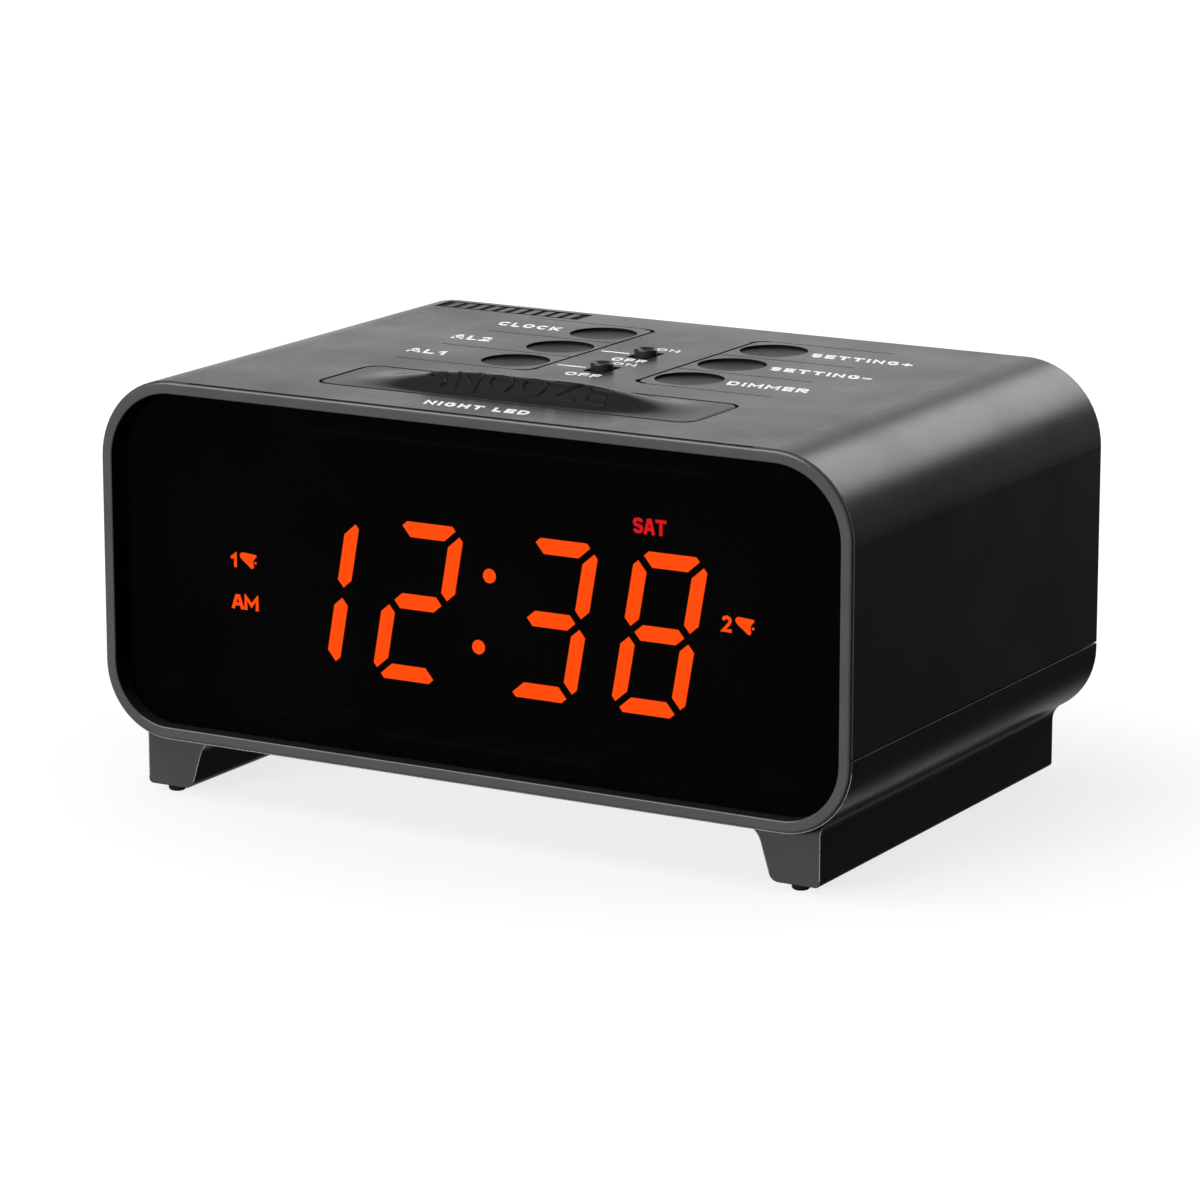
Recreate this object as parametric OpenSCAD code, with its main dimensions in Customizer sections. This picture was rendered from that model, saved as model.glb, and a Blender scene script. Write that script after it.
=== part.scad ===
// Bedside alarm clock radio: a rounded box on two runner feet, with a lit display behind a smoked
// lens in front, a domed snooze bar, six push buttons and two slide switches on top.
// Millimetres. +X is the right-hand side seen from the front, +Y is the back, +Z is up.
// The origin is on the surface that the clock stands on, under the middle of the body.

/* [Body] */
// Width of the body
body_w = 160; // [158:0.5:170]
// Depth of the body, from the front ring to the back rim
body_d = 103.5; // [102:0.5:112]
// Height of the top face above the surface
top_z = 80.8; // [80:0.2:86]
// Height of the body's underside above the surface
under_z = 11.25; // [10.5:0.25:11.5]
// Radius of the two top corners
top_r = 16; // [12:1:18]
// Radius of the two bottom corners
bottom_r = 14; // [13.5:0.25:14]
// Wall thickness of the two housings
wall = 2.2; // [2:0.1:2.4]
// Height of the seam where the housings meet
seam_z = 26.4; // [26:0.2:28]
// Width of the groove that shows at the seam
seam_gap = 0.3; // [0.2:0.05:0.5]

/* [Feet] */
// Distance from the middle to the outer side of a runner foot
foot_out_x = 72.5; // [71.5:0.25:73]
// Distance from the middle to the inner side of a runner foot, at its sole
foot_in_x = 62.6; // [62:0.2:63.4]
// Lean of the inner side from vertical, in degrees
foot_lean = 17; // [12:1:18]
// How far the feet stop short of the body at the front and at the back
foot_setback = 3.2; // [2:0.2:5]
// Radius of the blend between a foot and the body
foot_blend = 4; // [3.5:0.25:4.25]
// How far a rubber pad stands proud of the sole
pad_proud = 1.3; // [1:0.1:1.6]
// Radius of a rubber pad
pad_r = 1.7; // [1.5:0.1:1.9]
// Distance of a pad's middle from the end of its foot
pad_in = 2.3; // [2:0.1:4]

/* [Front ring and lens] */
// Width of the ring, from the body's outline to the lens opening
ring_w = 2.45; // [2.2:0.05:2.8]
// Radius of the ring's outer front edge
ring_edge = 0.6; // [0.4:0.05:0.6]
// Depth of the lens face behind the front of the ring
lens_recess = 3.2; // [2.4:0.1:3.4]
// Thickness of the smoked lens
lens_t = 1.8; // [1.2:0.1:1.8]

/* [Display] */
// Distance of the colon from the middle of the body
colon_x = 1.55; // [-2:0.05:4]
// Height of the middle bars of the digits
digits_z = 43.2; // [40:0.2:48]
// Distance between the side bars of a digit, from middle to middle
digit_w = 12.24; // [11.5:0.02:12.5]
// Distance between the top and bottom bars of a digit, from middle to middle
digit_h = 27.46; // [26:0.02:28]
// Width of one bar
bar_w = 2.9; // [2.4:0.1:3]
// Gap between bars that meet
bar_gap = 1.45; // [1.2:0.05:1.6]
// Slant of the digits, in degrees
slant = 10; // [0:1:12]
// Distance between the digits of a pair
digit_pitch = 22.58; // [22:0.02:23]
// Distance from the colon to the digit on each side
colon_to_digit = 14.27; // [14:0.01:15]

/* [Top controls] */
// Length of the snooze bar's opening
snooze_w = 81; // [79:0.5:82]
// Depth of the snooze bar's opening, front to back
snooze_d = 21; // [20:0.5:21.5]
// Distance of the snooze bar's middle from the front
snooze_y = 23.2; // [22.6:0.1:23.4]
// Height of the dome in the middle of the snooze bar
snooze_rise = 3; // [1.5:0.1:4]
// Travel of the snooze bar
snooze_travel = 1; // [0.6:0.1:1]
// Radius of a push button's hole
button_hole_r = 6.65; // [6.2:0.05:6.8]
// Distance of the button columns from the middle
button_x = 19; // [18.6:0.1:20]
// Distance of the first row of buttons from the front
row_y = 51.2; // [51:0.1:51.6]
// Distance between rows of buttons
row_pitch = 16.8; // [16.6:0.1:17]
// Depth of a button's rim below the top face
button_sink = 0.4; // [0.2:0.05:0.6]
// Travel of a push button
button_travel = 0.6; // [0.4:0.05:0.6]
// Width of a slide switch's slot, left to right
slot_w = 4.9; // [4.7:0.1:5.2]
// Length of a slide switch's slot, front to back
slot_l = 7; // [6.8:0.1:7.2]
// Radius of a slide switch's knob
knob_r = 2.25; // [2:0.05:2.3]
// Height of a slide switch's knob above the top face
knob_rise = 1.35; // [1:0.05:2]
// Width of the engraved outline around each button group
outline_w = 0.7; // [0.3:0.05:0.8]
// Width of the engraved lines between buttons
divider_w = 0.45; // [0.2:0.05:0.6]
// Depth of the engraved lines
groove_t = 0.45; // [0.3:0.05:0.6]

/* [Back] */
// Distance of the speaker from the middle
speaker_x = 38; // [36:0.5:40]
// Height of the speaker's middle
speaker_z = 48; // [47:0.5:49]
// Radius of the speaker's frame
speaker_r = 25; // [23:0.5:25.5]
// Distance of the power inlet from the middle
jack_x = -38; // [-40:0.5:-34]

/* [Underside] */
// Middle of the battery door, left to right
door_x = -14; // [-15:0.5:-13]
// Width of the battery well
well_w = 50; // [50:0.5:52]
// Depth of the battery well, front to back
well_d = 23.6; // [23.6:0.2:24]

/* [Hidden] */
$fa = 4;
$fs = 0.4;

eps = 0.01;
front_y = -body_d / 2;
back_y = body_d / 2;
half_w = body_w / 2;
top_t = 2.4;
ceiling_z = top_z - top_t;
floor_z = under_z + wall;
sole_z = pad_proud;
fit = 0.1;
far = 400;
colour_case = [0.24, 0.24, 0.25];
colour_key = [0.2, 0.2, 0.21];
colour_board = [0.08, 0.3, 0.18];
colour_steel = [0.72, 0.73, 0.75];

// front ring
ring_gap = 0.25;
tongue_in_x = half_w - wall - 1.4;
tongue_low_z = seam_z - 2.9;
tongue_h = 2.6;
ring_inner_edge = 0.3;
housing_front_y = front_y + ring_edge + fit;
rebate = 1.1;
skirt_end_y = front_y + lens_recess + lens_t + 1;
lip_w = 2;

// display stack, front to back
lens_y = front_y + lens_recess;
module_y = lens_y + lens_t + 0.4;
module_t = 7;
module_w = 132;
module_h = 49;
segment_proud = 0.1;
segment_t = 1.4;
board_t = 1.6;
display_board_y = module_y + module_t + fit;
display_board_w = 152;
dot_r = 1.35;
dot_z = 6.83;
mitre = bar_gap / sqrt(2);
tip_out = 0.21 * bar_w;
chamfer = bar_w / 2 - tip_out;
digit_xs = [
    colon_x - colon_to_digit - digit_pitch, colon_x - colon_to_digit,
    colon_x + colon_to_digit, colon_x + colon_to_digit + digit_pitch
];
// Bars are numbered 0 top, 1 upper right, 2 lower right, 3 bottom, 4 lower left, 5 upper left, 6 middle
SHOWN = [[1, 2], [0, 1, 6, 4, 3], [0, 1, 6, 2, 3], [0, 1, 2, 3, 4, 5, 6]];
ALL_BARS = [0:6];
icon_h = 3.6;
icon_windows = [[-51.2, 46.9, 8], [-51.2, 38.9, 8], [36.4, 62.9, 8.6], [54.4, 46.9, 8.4]];

// top controls
snooze_r = 3.7;
snooze_gap = 0.45;
snooze_mid_y = front_y + snooze_y;
snooze_flat = 10;
snooze_fade = 38;
snooze_columns = 36;
snooze_rows = 12;
flange_t = 1.2;
flange_gap = 0.2;
button_gap = 0.25;
button_r = button_hole_r - button_gap;
button_flange_r = button_r + 1.2;
dish_depth = 0.45;
row_ys = [for (i = [0:2]) front_y + row_y + i * row_pitch];
slot_ys = [row_ys[0] + 0.15, row_ys[1] + 0.15];
slot_r = 0.6;
knob_travel = (slot_l - 2 * knob_r) / 2 - 0.25;
group_half = row_pitch / 2;
group_in_x = 11;
group_out_x = 40.8;
group_corner_r = 3.2;
badge_w = 33.6;
badge_d = 6.6;
badge_x = -48;
badge_y = front_y + 98.6;
badge_t = 0.6;

// key board under the top face
key_board_z = top_z - 10.8;
key_board_w = 86;
key_board_y0 = front_y + 15.6;
key_board_y1 = front_y + 93.4;
tact_s = 6;
tact_h = 3.5;
tact_cap_r = 1.7;
tact_top_z = key_board_z + board_t + tact_h + 0.5;
stem_clear = 0.15;
snooze_tact_x = 25;
key_post_xs = [-35, 35];
key_post_ys = [front_y + 41.4, front_y + 88.6];
key_post_r = 2.8;
pilot_r = 1.0;
small_screw_r = 0.95;
small_head_r = 2;

// case screws and posts
post_x = 54;
post_ys = [-26, 28];
post_r = 3.6;
case_pilot_r = 1.5;
case_screw_r = 1.45;
case_hole_r = 1.8;
case_head_r = 2.8;
head_well_r = 3.3;
head_seat_z = seam_z - 5;
case_screw_tip_z = seam_z + 12;

// main board
main_board_z = 30;
main_board_x0 = -48;
main_board_x1 = 20;
main_board_y0 = -24;
main_board_y1 = 45;
standoff_r = 2.8;
standoff_xs = [-44, 16];
standoff_ys = [-20, 30.5];
jack_axis_z = main_board_z + board_t + 6.5;
jack_hole_r = 2.9;
jack_nose_r = 4.4;
jack_pin_r = 1.05;

// back
panel_t = 2.2;
panel_y1 = back_y - 1;
panel_y0 = panel_y1 - panel_t;
grille_hole_r = 0.95;
grille_pitch = 3;
grille_r = speaker_r - 3.5;
speaker_flange_t = 1.2;
speaker_front_y = panel_y0 - fit;
boss_h = fit + speaker_flange_t;

// underside
door_t = 1.4;
door_gap = 0.25;
door_w = well_w + 2;
door_y0 = back_y - 31;
well_y = back_y - 17.4;
tongue_w = 1;
tongue_t = 0.65;
pad_floor_z = floor_z + 1.2;
cell_r = 5.25;
cell_l = 44.5;
cell_z = pad_floor_z + cell_r + 0.2;
well_top_z = cell_z + cell_r + 0.8;
well_wall = 1.2;
night_w = 40;
night_d = 4;
night_y = front_y + 11;
night_board_z = floor_z + 2.4;

// ---------- helpers ----------

module span(x0, x1, z0, z1) {
    translate([x0, z0]) square([x1 - x0, z1 - z0]);
}

module along_y(y0, y1) {
    translate([0, y1, 0]) rotate([90, 0, 0]) linear_extrude(y1 - y0) children();
}

module block(x0, x1, y0, y1, z0, z1) {
    translate([x0, y0, z0]) cube([x1 - x0, y1 - y0, z1 - z0]);
}

module post(x, y, z0, z1, r) {
    translate([x, y, z0]) cylinder(r = r, h = z1 - z0);
}

module round_rect(w, d, r) {
    square([w - 2 * r, d], center = true);
    square([w, d - 2 * r], center = true);
    for (sx = [-1, 1], sy = [-1, 1]) translate([sx * (w / 2 - r), sy * (d / 2 - r)]) circle(r = r);
}

// Outline of the body seen from the front, moved inwards by inset
module body_outline(inset = 0) {
    hw = half_w - inset;
    zt = top_z - inset;
    zb = under_z + inset;
    rt = top_r - inset;
    rb = bottom_r - inset;
    for (s = [-1, 1]) {
        translate([s * (hw - rt), zt - rt]) circle(r = rt);
        translate([s * (hw - rb), zb + rb]) circle(r = rb);
    }
    span(-hw, hw, zb + rb, zt - rt);
    span(rt - hw, hw - rt, zb + rb, zt);
    span(rb - hw, hw - rb, zb, zt - rt);
}

module outline_frame(outer, inner) {
    difference() {
        body_outline(outer);
        body_outline(inner);
    }
}

// A quarter of a torus that follows one corner of the body outline
module corner_tube(x, y, z, bend, r, start) {
    translate([x, y, z]) rotate([90, 0, 0]) rotate([0, 0, start])
        rotate_extrude(angle = 90) translate([bend, 0]) circle(r = r);
}

// A round bead that follows the whole body outline at depth y
module outline_bead(inset, r, y) {
    hw = half_w - inset;
    zt = top_z - inset;
    zb = under_z + inset;
    rt = top_r - inset;
    rb = bottom_r - inset;
    corner_tube(hw - rt, y, zt - rt, rt, r, 0);
    corner_tube(rt - hw, y, zt - rt, rt, r, 90);
    corner_tube(rb - hw, y, zb + rb, rb, r, 180);
    corner_tube(hw - rb, y, zb + rb, rb, r, 270);
    translate([rt - hw, y, zt]) rotate([0, 90, 0]) cylinder(r = r, h = 2 * (hw - rt));
    translate([rb - hw, y, zb]) rotate([0, 90, 0]) cylinder(r = r, h = 2 * (hw - rb));
    for (s = [-1, 1]) translate([s * hw, y, zb + rb]) cylinder(r = r, h = zt - rt - zb - rb);
}

module pan_screw(head_r, head_t, shank_r, length) {
    cylinder(r = head_r, h = head_t);
    translate([0, 0, -length]) cylinder(r = shank_r, h = length + head_t / 2);
}

// ---------- housings ----------

module button_group_grooves() {
    // One bracket-shaped outline and its two dividers, for the group at the right
    y_low = row_ys[0] - group_half;
    y_high = row_ys[2] + group_half;
    w = outline_w;
    r = group_corner_r;
    translate([group_in_x, y_low + r]) square([w, y_high - y_low - 2 * r]);
    for (y = [y_low, y_high]) {
        translate([group_in_x + r, y - divider_w / 2])
            square([group_out_x - group_in_x - r, divider_w]);
    }
    for (s = [0, 1]) {
        y = s == 0 ? y_low + r : y_high - r;
        translate([group_in_x + r, y]) intersection() {
            difference() {
                circle(r = r + divider_w / 2);
                circle(r = r - w);
            }
            translate([-2 * r, s == 0 ? -2 * r : 0]) square(2 * r);
        }
    }
    for (i = [0, 1]) translate([group_in_x, row_ys[i] + group_half - divider_w / 2])
        square([group_out_x - group_in_x, divider_w]);
}

module top_cuts() {
    translate([0, snooze_mid_y, ceiling_z - 1]) linear_extrude(top_t + 2)
        round_rect(snooze_w, snooze_d, snooze_r);
    for (s = [-1, 1], y = row_ys) post(s * button_x, y, ceiling_z - 1, top_z + 1, button_hole_r);
    for (y = slot_ys) translate([0, y, ceiling_z - 1]) linear_extrude(top_t + 2)
        round_rect(slot_w, slot_l, slot_r);
    translate([0, 0, top_z - groove_t]) linear_extrude(groove_t + 1) {
        button_group_grooves();
        mirror([1, 0]) button_group_grooves();
    }
    translate([badge_x, badge_y, top_z - badge_t]) linear_extrude(badge_t + 1)
        square([badge_w, badge_d], center = true);
}

module upper_housing() {
    color(colour_case) difference() {
        union() {
            intersection() {
                along_y(housing_front_y, back_y) outline_frame(0, wall);
                block(-far, far, -far, far, seam_z + seam_gap / 2, far);
            }
            block(-half_w + top_r, half_w - top_r, housing_front_y + 6, panel_y0 - 1,
                ceiling_z, ceiling_z + 0.4);
            for (s = [-1, 1], y = post_ys) post(s * post_x, y, seam_z + 0.1, ceiling_z + 0.5, post_r);
            for (x = key_post_xs, y = key_post_ys)
                post(x, y, key_board_z + board_t, ceiling_z + 0.5, key_post_r);
            // Slots in the side walls that hold the display board
            for (s = [-1, 1], y = [display_board_y - 1.3, display_board_y + board_t + 0.1])
                block(min(s * 75.4, s * (half_w - 1)), max(s * 75.4, s * (half_w - 1)),
                    y, y + 1.2, 31, 64);
        }
        top_cuts();
        along_y(housing_front_y - 1, skirt_end_y + 0.2) body_outline(rebate);
        for (s = [-1, 1], y = post_ys)
            post(s * post_x, y, seam_z, case_screw_tip_z + 2, case_pilot_r);
        for (x = key_post_xs, y = key_post_ys)
            post(x, y, key_board_z, key_board_z + board_t + 5.5, pilot_r);
    }
}

// Cross-section of the right-hand runner foot
module foot_section() {
    lean_dx = (under_z + 1 - sole_z) * tan(foot_lean);
    // Blend on the outer side, tangent to the foot and to the body's corner
    blend_x = foot_out_x + foot_blend;
    reach = bottom_r + foot_blend;
    corner_x = half_w - bottom_r;
    corner_z = under_z + bottom_r;
    blend_z = corner_z - sqrt(reach * reach - (blend_x - corner_x) * (blend_x - corner_x));
    meet_x = corner_x + (blend_x - corner_x) * bottom_r / reach;
    meet_z = corner_z - (corner_z - blend_z) * bottom_r / reach;
    // Height where the foot ends inside the body's wall
    join_z = under_z + wall + 0.55;
    // Blend on the inner side, tangent to the foot and to the underside
    in_z = under_z - foot_blend;
    in_top_x = foot_in_x - (in_z + foot_blend * sin(foot_lean) - sole_z) * tan(foot_lean);
    in_x = in_top_x - foot_blend * cos(foot_lean);
    edge = 0.9;
    in_edge = 2.1;
    // Centre of the rounded inner edge of the sole
    round_x = foot_in_x + in_edge * (1 - sin(foot_lean)) / cos(foot_lean);
    polygon([
        [round_x, sole_z], [foot_out_x - edge, sole_z], [foot_out_x, sole_z + edge],
        [foot_out_x, join_z], [foot_in_x - lean_dx, under_z + 1],
        [round_x - in_edge * cos(foot_lean), sole_z + in_edge * (1 - sin(foot_lean))]
    ]);
    translate([foot_out_x - edge, sole_z + edge]) circle(r = edge);
    translate([round_x, sole_z + in_edge]) circle(r = in_edge);
    difference() {
        polygon([
            [foot_out_x - 1, blend_z], [blend_x, blend_z], [meet_x, meet_z],
            [meet_x - 0.8, meet_z + 1], [foot_out_x - 1, join_z]
        ]);
        translate([blend_x, blend_z]) circle(r = foot_blend);
    }
    difference() {
        span(in_x, in_top_x + 3, in_z, under_z + 0.5);
        translate([in_x, in_z]) circle(r = foot_blend);
        polygon([
            [in_x - 1, in_z - 1], [foot_in_x + 0.2, in_z - 1], [in_top_x, in_z + foot_blend * sin(foot_lean)],
            [in_x, in_z]
        ]);
    }
}

// Box that holds the backup cells, on a thicker patch of floor with the door's rails in it
module battery_well() {
    x0 = door_x - well_w / 2;
    x1 = door_x + well_w / 2;
    y0 = well_y - well_d / 2;
    y1 = well_y + well_d / 2;
    block(x0 - 4, x1 + 4, door_y0 - 3, panel_y0 - fit, floor_z - 0.5, pad_floor_z);
    block(x0 - well_wall, x1 + well_wall, y0 - well_wall, y1 + well_wall,
        floor_z - 0.5, well_top_z + well_wall);
}

module battery_well_cuts() {
    block(door_x - well_w / 2, door_x + well_w / 2, well_y - well_d / 2, well_y + well_d / 2,
        under_z - 1, well_top_z);
    half = door_w / 2 + door_gap;
    block(door_x - half, door_x + half, door_y0 - door_gap, back_y + 1,
        under_z - 1, under_z + door_t + door_gap);
    block(door_x - half - tongue_w, door_x + half + tongue_w, door_y0 - door_gap, back_y + 1,
        under_z + door_t - tongue_t - door_gap, under_z + door_t + door_gap);
}

module floor_cuts() {
    battery_well_cuts();
    // Night-light window
    translate([0, night_y, under_z - 1]) linear_extrude(wall + 2)
        round_rect(night_w, night_d, night_d / 2 - eps);
    // Cooling slots
    for (i = [0:6]) translate([22 + i * 4, 14, under_z - 1]) linear_extrude(wall + 2)
        round_rect(1.4, 22, 0.69);
}

module lower_housing() {
    color(colour_case) difference() {
        union() {
            intersection() {
                along_y(housing_front_y, back_y) outline_frame(0, wall);
                block(-far, far, -far, far, -far, seam_z - seam_gap / 2);
            }
            for (s = [0, 1]) mirror([s, 0, 0])
                along_y(front_y + foot_setback, back_y - foot_setback) foot_section();
            // Tongues that locate the upper housing
            for (s = [0, 1]) mirror([s, 0, 0]) along_y(skirt_end_y + 1, panel_y0 - 1) {
                span(tongue_in_x, half_w - wall - fit, tongue_low_z, seam_z + tongue_h);
                span(tongue_in_x, half_w - wall + 0.4, tongue_low_z, seam_z - 1);
            }
            for (s = [-1, 1], y = post_ys) post(s * post_x, y, floor_z - 1, seam_z, post_r + 0.9);
            for (x = standoff_xs, y = standoff_ys) post(x, y, floor_z - 1, main_board_z, standoff_r);
            for (s = [-1, 1]) post(s * 21.9, night_y, floor_z - 1, night_board_z, 1.3);
            battery_well();
        }
        floor_cuts();
        along_y(housing_front_y - 1, skirt_end_y + 0.2) body_outline(rebate);
        for (s = [-1, 1], y = post_ys) {
            post(s * post_x, y, under_z - 1, head_seat_z, head_well_r);
            post(s * post_x, y, head_seat_z - 1, seam_z + 1, case_hole_r);
        }
        for (x = standoff_xs, y = standoff_ys) post(x, y, floor_z + 6, main_board_z + 1, pilot_r);
        // The feet are cored out from inside
        for (s = [-1, 1]) block(min(s * 64.8, s * 70.3), max(s * 64.8, s * 70.3),
            front_y + foot_setback + 3, back_y - foot_setback - 3, sole_z + 2.4, under_z + 6);
    }
}

// Puts a forward-pointing child at each of the speaker's four screws
module at_speaker_screws(y) {
    for (a = [45:90:359]) translate([speaker_x, 0, speaker_z]) rotate([0, a, 0])
        translate([0, y, speaker_r + 2.5]) rotate([90, 0, 0]) children();
}

module rear_panel() {
    color(colour_case) difference() {
        union() {
            along_y(panel_y0, panel_y1) body_outline(wall + fit);
            // Bosses for the speaker's screws
            at_speaker_screws(panel_y0 + 0.1) cylinder(r = 2.2, h = boss_h + 0.1);
        }
        for (i = [-9:9], k = [-9:9])
            if (norm([i + (k % 2) / 2, k * 0.866]) * grille_pitch < grille_r)
                translate([speaker_x + (i + (k % 2) / 2) * grille_pitch, panel_y1 + 1,
                    speaker_z + k * 0.866 * grille_pitch])
                    rotate([90, 0, 0]) cylinder(r = grille_hole_r, h = panel_t + 2, $fn = 24);
        at_speaker_screws(panel_y0 + 1.5) cylinder(r = pilot_r, h = 5);
        translate([jack_x, panel_y1 + 1, jack_axis_z]) rotate([90, 0, 0])
            cylinder(r = jack_nose_r + 0.2, h = panel_t + 2);
        // Cooling slots above the power inlet
        for (i = [0:7]) along_y(panel_y0 - 1, panel_y1 + 1)
            translate([jack_x - 14 + i * 4, 62]) round_rect(1.6, 14, 0.79);
    }
}

// ---------- front ----------

module front_bezel() {
    color([0.35, 0.35, 0.36]) union() {
        intersection() {
            outline_bead(ring_gap + ring_edge, ring_edge, front_y + ring_edge);
            block(-far, far, front_y - 1, front_y + ring_edge, -far, far);
        }
        along_y(front_y, front_y + ring_edge)
            outline_frame(ring_gap + ring_edge, ring_w - ring_inner_edge);
        outline_bead(ring_w - ring_inner_edge, ring_inner_edge, front_y + ring_inner_edge);
        along_y(front_y + ring_inner_edge, skirt_end_y) outline_frame(rebate + fit, ring_w);
        along_y(lens_y + lens_t + 0.05, skirt_end_y) outline_frame(rebate + fit, ring_w + lip_w);
    }
}

module display_lens() {
    color([0.03, 0.03, 0.035, 0.8]) along_y(lens_y, lens_y + lens_t) body_outline(ring_w + 0.06);
}

// Points of a bar in its digit, before the slant: the top bar, and the upper right bar
TOP_BAR = [
    [-(digit_w / 2 + tip_out - mitre), digit_h / 2 + tip_out],
    [-(digit_w / 2 + tip_out - mitre - chamfer), (digit_h + bar_w) / 2],
    [digit_w / 2 + tip_out - mitre - chamfer, (digit_h + bar_w) / 2],
    [digit_w / 2 + tip_out - mitre, digit_h / 2 + tip_out],
    [(digit_w - bar_w) / 2 - mitre, (digit_h - bar_w) / 2],
    [-((digit_w - bar_w) / 2 - mitre), (digit_h - bar_w) / 2]
];
MIDDLE_BAR = [
    [-(digit_w / 2 - mitre), 0], [-(digit_w - bar_w) / 2 + mitre, bar_w / 2],
    [(digit_w - bar_w) / 2 - mitre, bar_w / 2], [digit_w / 2 - mitre, 0],
    [(digit_w - bar_w) / 2 - mitre, -bar_w / 2], [-(digit_w - bar_w) / 2 + mitre, -bar_w / 2]
];
SIDE_BAR = [
    [digit_w / 2, mitre], [(digit_w - bar_w) / 2, mitre + bar_w / 2],
    [(digit_w - bar_w) / 2, (digit_h - bar_w) / 2 - mitre],
    [digit_w / 2 + tip_out, digit_h / 2 + tip_out - mitre],
    [(digit_w + bar_w) / 2, digit_h / 2 + tip_out - mitre - chamfer],
    [(digit_w + bar_w) / 2, mitre + bar_w / 2]
];
function mirrored(points, sx, sz) = [for (p = points) [sx * p[0], sz * p[1]]];
function slanted(points) = [for (p = points) [p[0] + p[1] * tan(slant), p[1]]];
BARS = [
    TOP_BAR, SIDE_BAR, mirrored(SIDE_BAR, 1, -1), mirrored(TOP_BAR, 1, -1),
    mirrored(SIDE_BAR, -1, -1), mirrored(SIDE_BAR, -1, 1), MIDDLE_BAR
];
function is_shown(digit, bar) = len(search(bar, SHOWN[digit])) > 0;

module bar(digit, index) {
    translate([digit_xs[digit], digits_z]) polygon(slanted(BARS[index]));
}

module colon_dots() {
    for (s = [-1, 1]) translate([colon_x + s * dot_z * tan(slant), digits_z + s * dot_z]) circle(r = dot_r);
}

module icon_frames() {
    for (w = icon_windows) translate([w[0], w[1]]) square([w[2], icon_h], center = true);
}

module led_module() {
    color([0.03, 0.03, 0.03]) difference() {
        along_y(module_y, module_y + module_t)
            translate([0, digits_z + 2.3]) square([module_w, module_h], center = true);
        along_y(module_y - 1, module_y + segment_t) {
            for (d = [0:3], b = ALL_BARS) bar(d, b);
            colon_dots();
            icon_frames();
        }
    }
}

module lit_segments() {
    color([1, 0.32, 0]) along_y(module_y - segment_proud, module_y + segment_t) {
        for (d = [0:3], b = ALL_BARS) if (is_shown(d, b)) bar(d, b);
        colon_dots();
    }
}

module unlit_segments() {
    color([0.06, 0.05, 0.05]) along_y(module_y, module_y + segment_t) {
        for (d = [0:3], b = ALL_BARS) if (!is_shown(d, b)) bar(d, b);
        icon_frames();
    }
}

module display_pcb() {
    color(colour_board) along_y(display_board_y, display_board_y + board_t)
        translate([0, digits_z + 2.3]) square([display_board_w, module_h + 2], center = true);
}

// Flat cable from the foot of the display board, back over the main board's front edge
module display_ribbon() {
    y0 = display_board_y + board_t;
    z0 = main_board_z + board_t;
    color([0.8, 0.8, 0.82]) union() {
        block(-16, 4, y0, y0 + 0.6, z0 + 3, z0 + 12);
        block(-16, 4, y0, main_board_y0 + 3, z0 + 2.4, z0 + 3);
        block(-16, 4, main_board_y0 + 1, main_board_y0 + 3, z0, z0 + 2.4);
    }
}

// ---------- top controls ----------

function smooth(t) = let (c = min(1, max(0, t))) c * c * (3 - 2 * c);
function dome(x, y) = snooze_rise * smooth((snooze_fade - abs(x)) / (snooze_fade - snooze_flat))
    * pow(cos(90 * min(1, abs(y) / (snooze_d / 2 - 0.6))), 2);
function bar_half_depth(x, hw, hd, r) = abs(x) <= hw - r ? hd
    : hd - r + sqrt(max(0, r * r - pow(abs(x) - hw + r, 2)));

// Closed slab whose outline is a rounded rectangle and whose top is the dome
module snooze_cap(z_low) {
    hw = snooze_w / 2 - snooze_gap;
    hd = snooze_d / 2 - snooze_gap;
    r = snooze_r - snooze_gap;
    n = snooze_columns;
    m = snooze_rows;
    xs = concat(
        [for (i = [0:5]) -hw + r - r * cos(15 * i)],
        [for (i = [1:n - 1]) -hw + r + (2 * hw - 2 * r) * i / n],
        [for (i = [5:-1:0]) hw - r + r * cos(15 * i)]
    );
    c = len(xs);
    top_points = [for (x = xs, j = [0:m])
        let (y = bar_half_depth(x, hw, hd, r) * (2 * j / m - 1)) [x, y, top_z + dome(x, y)]];
    low_points = [for (p = top_points) [p[0], p[1], z_low]];
    k = m + 1;
    low = c * k;
    last = (c - 1) * k;
    faces = concat(
        [for (i = [0:c - 2], j = [0:m - 1]) [i * k + j, i * k + j + 1, (i + 1) * k + j + 1]],
        [for (i = [0:c - 2], j = [0:m - 1]) [i * k + j, (i + 1) * k + j + 1, (i + 1) * k + j]],
        [for (i = [0:c - 2]) [low + i * k, low + (i + 1) * k, low + (i + 1) * k + m, low + i * k + m]],
        [for (i = [0:c - 2]) [i * k, (i + 1) * k, low + (i + 1) * k, low + i * k]],
        [for (i = [0:c - 2]) [i * k + m, low + i * k + m, low + (i + 1) * k + m, (i + 1) * k + m]],
        [for (j = [0:m - 1]) [low, j + 1, j]],
        [for (j = [0:m - 1]) [low + last, last + j, last + j + 1]],
        [[low, low + m, m], [low + last, last + m, low + last + m]]
    );
    polyhedron(points = concat(top_points, low_points), faces = faces, convexity = 4);
}

module snooze_bar() {
    color(colour_key) translate([0, snooze_mid_y, 0]) snooze_cap(ceiling_z - flange_gap);
}

// Flanged frame under the snooze bar, which keeps the bar in its opening and works two switches
module snooze_frame() {
    flange_top = ceiling_z - flange_gap;
    stem_z = tact_top_z + snooze_travel + stem_clear;
    color(colour_key) translate([0, snooze_mid_y, 0]) {
        translate([0, 0, flange_top - flange_t]) linear_extrude(flange_t)
            round_rect(snooze_w + 1.6, snooze_d + 1.6, snooze_r + 0.8);
        for (s = [-1, 1]) post(s * snooze_tact_x, 0, stem_z, flange_top - 0.2, 2);
    }
}

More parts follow.
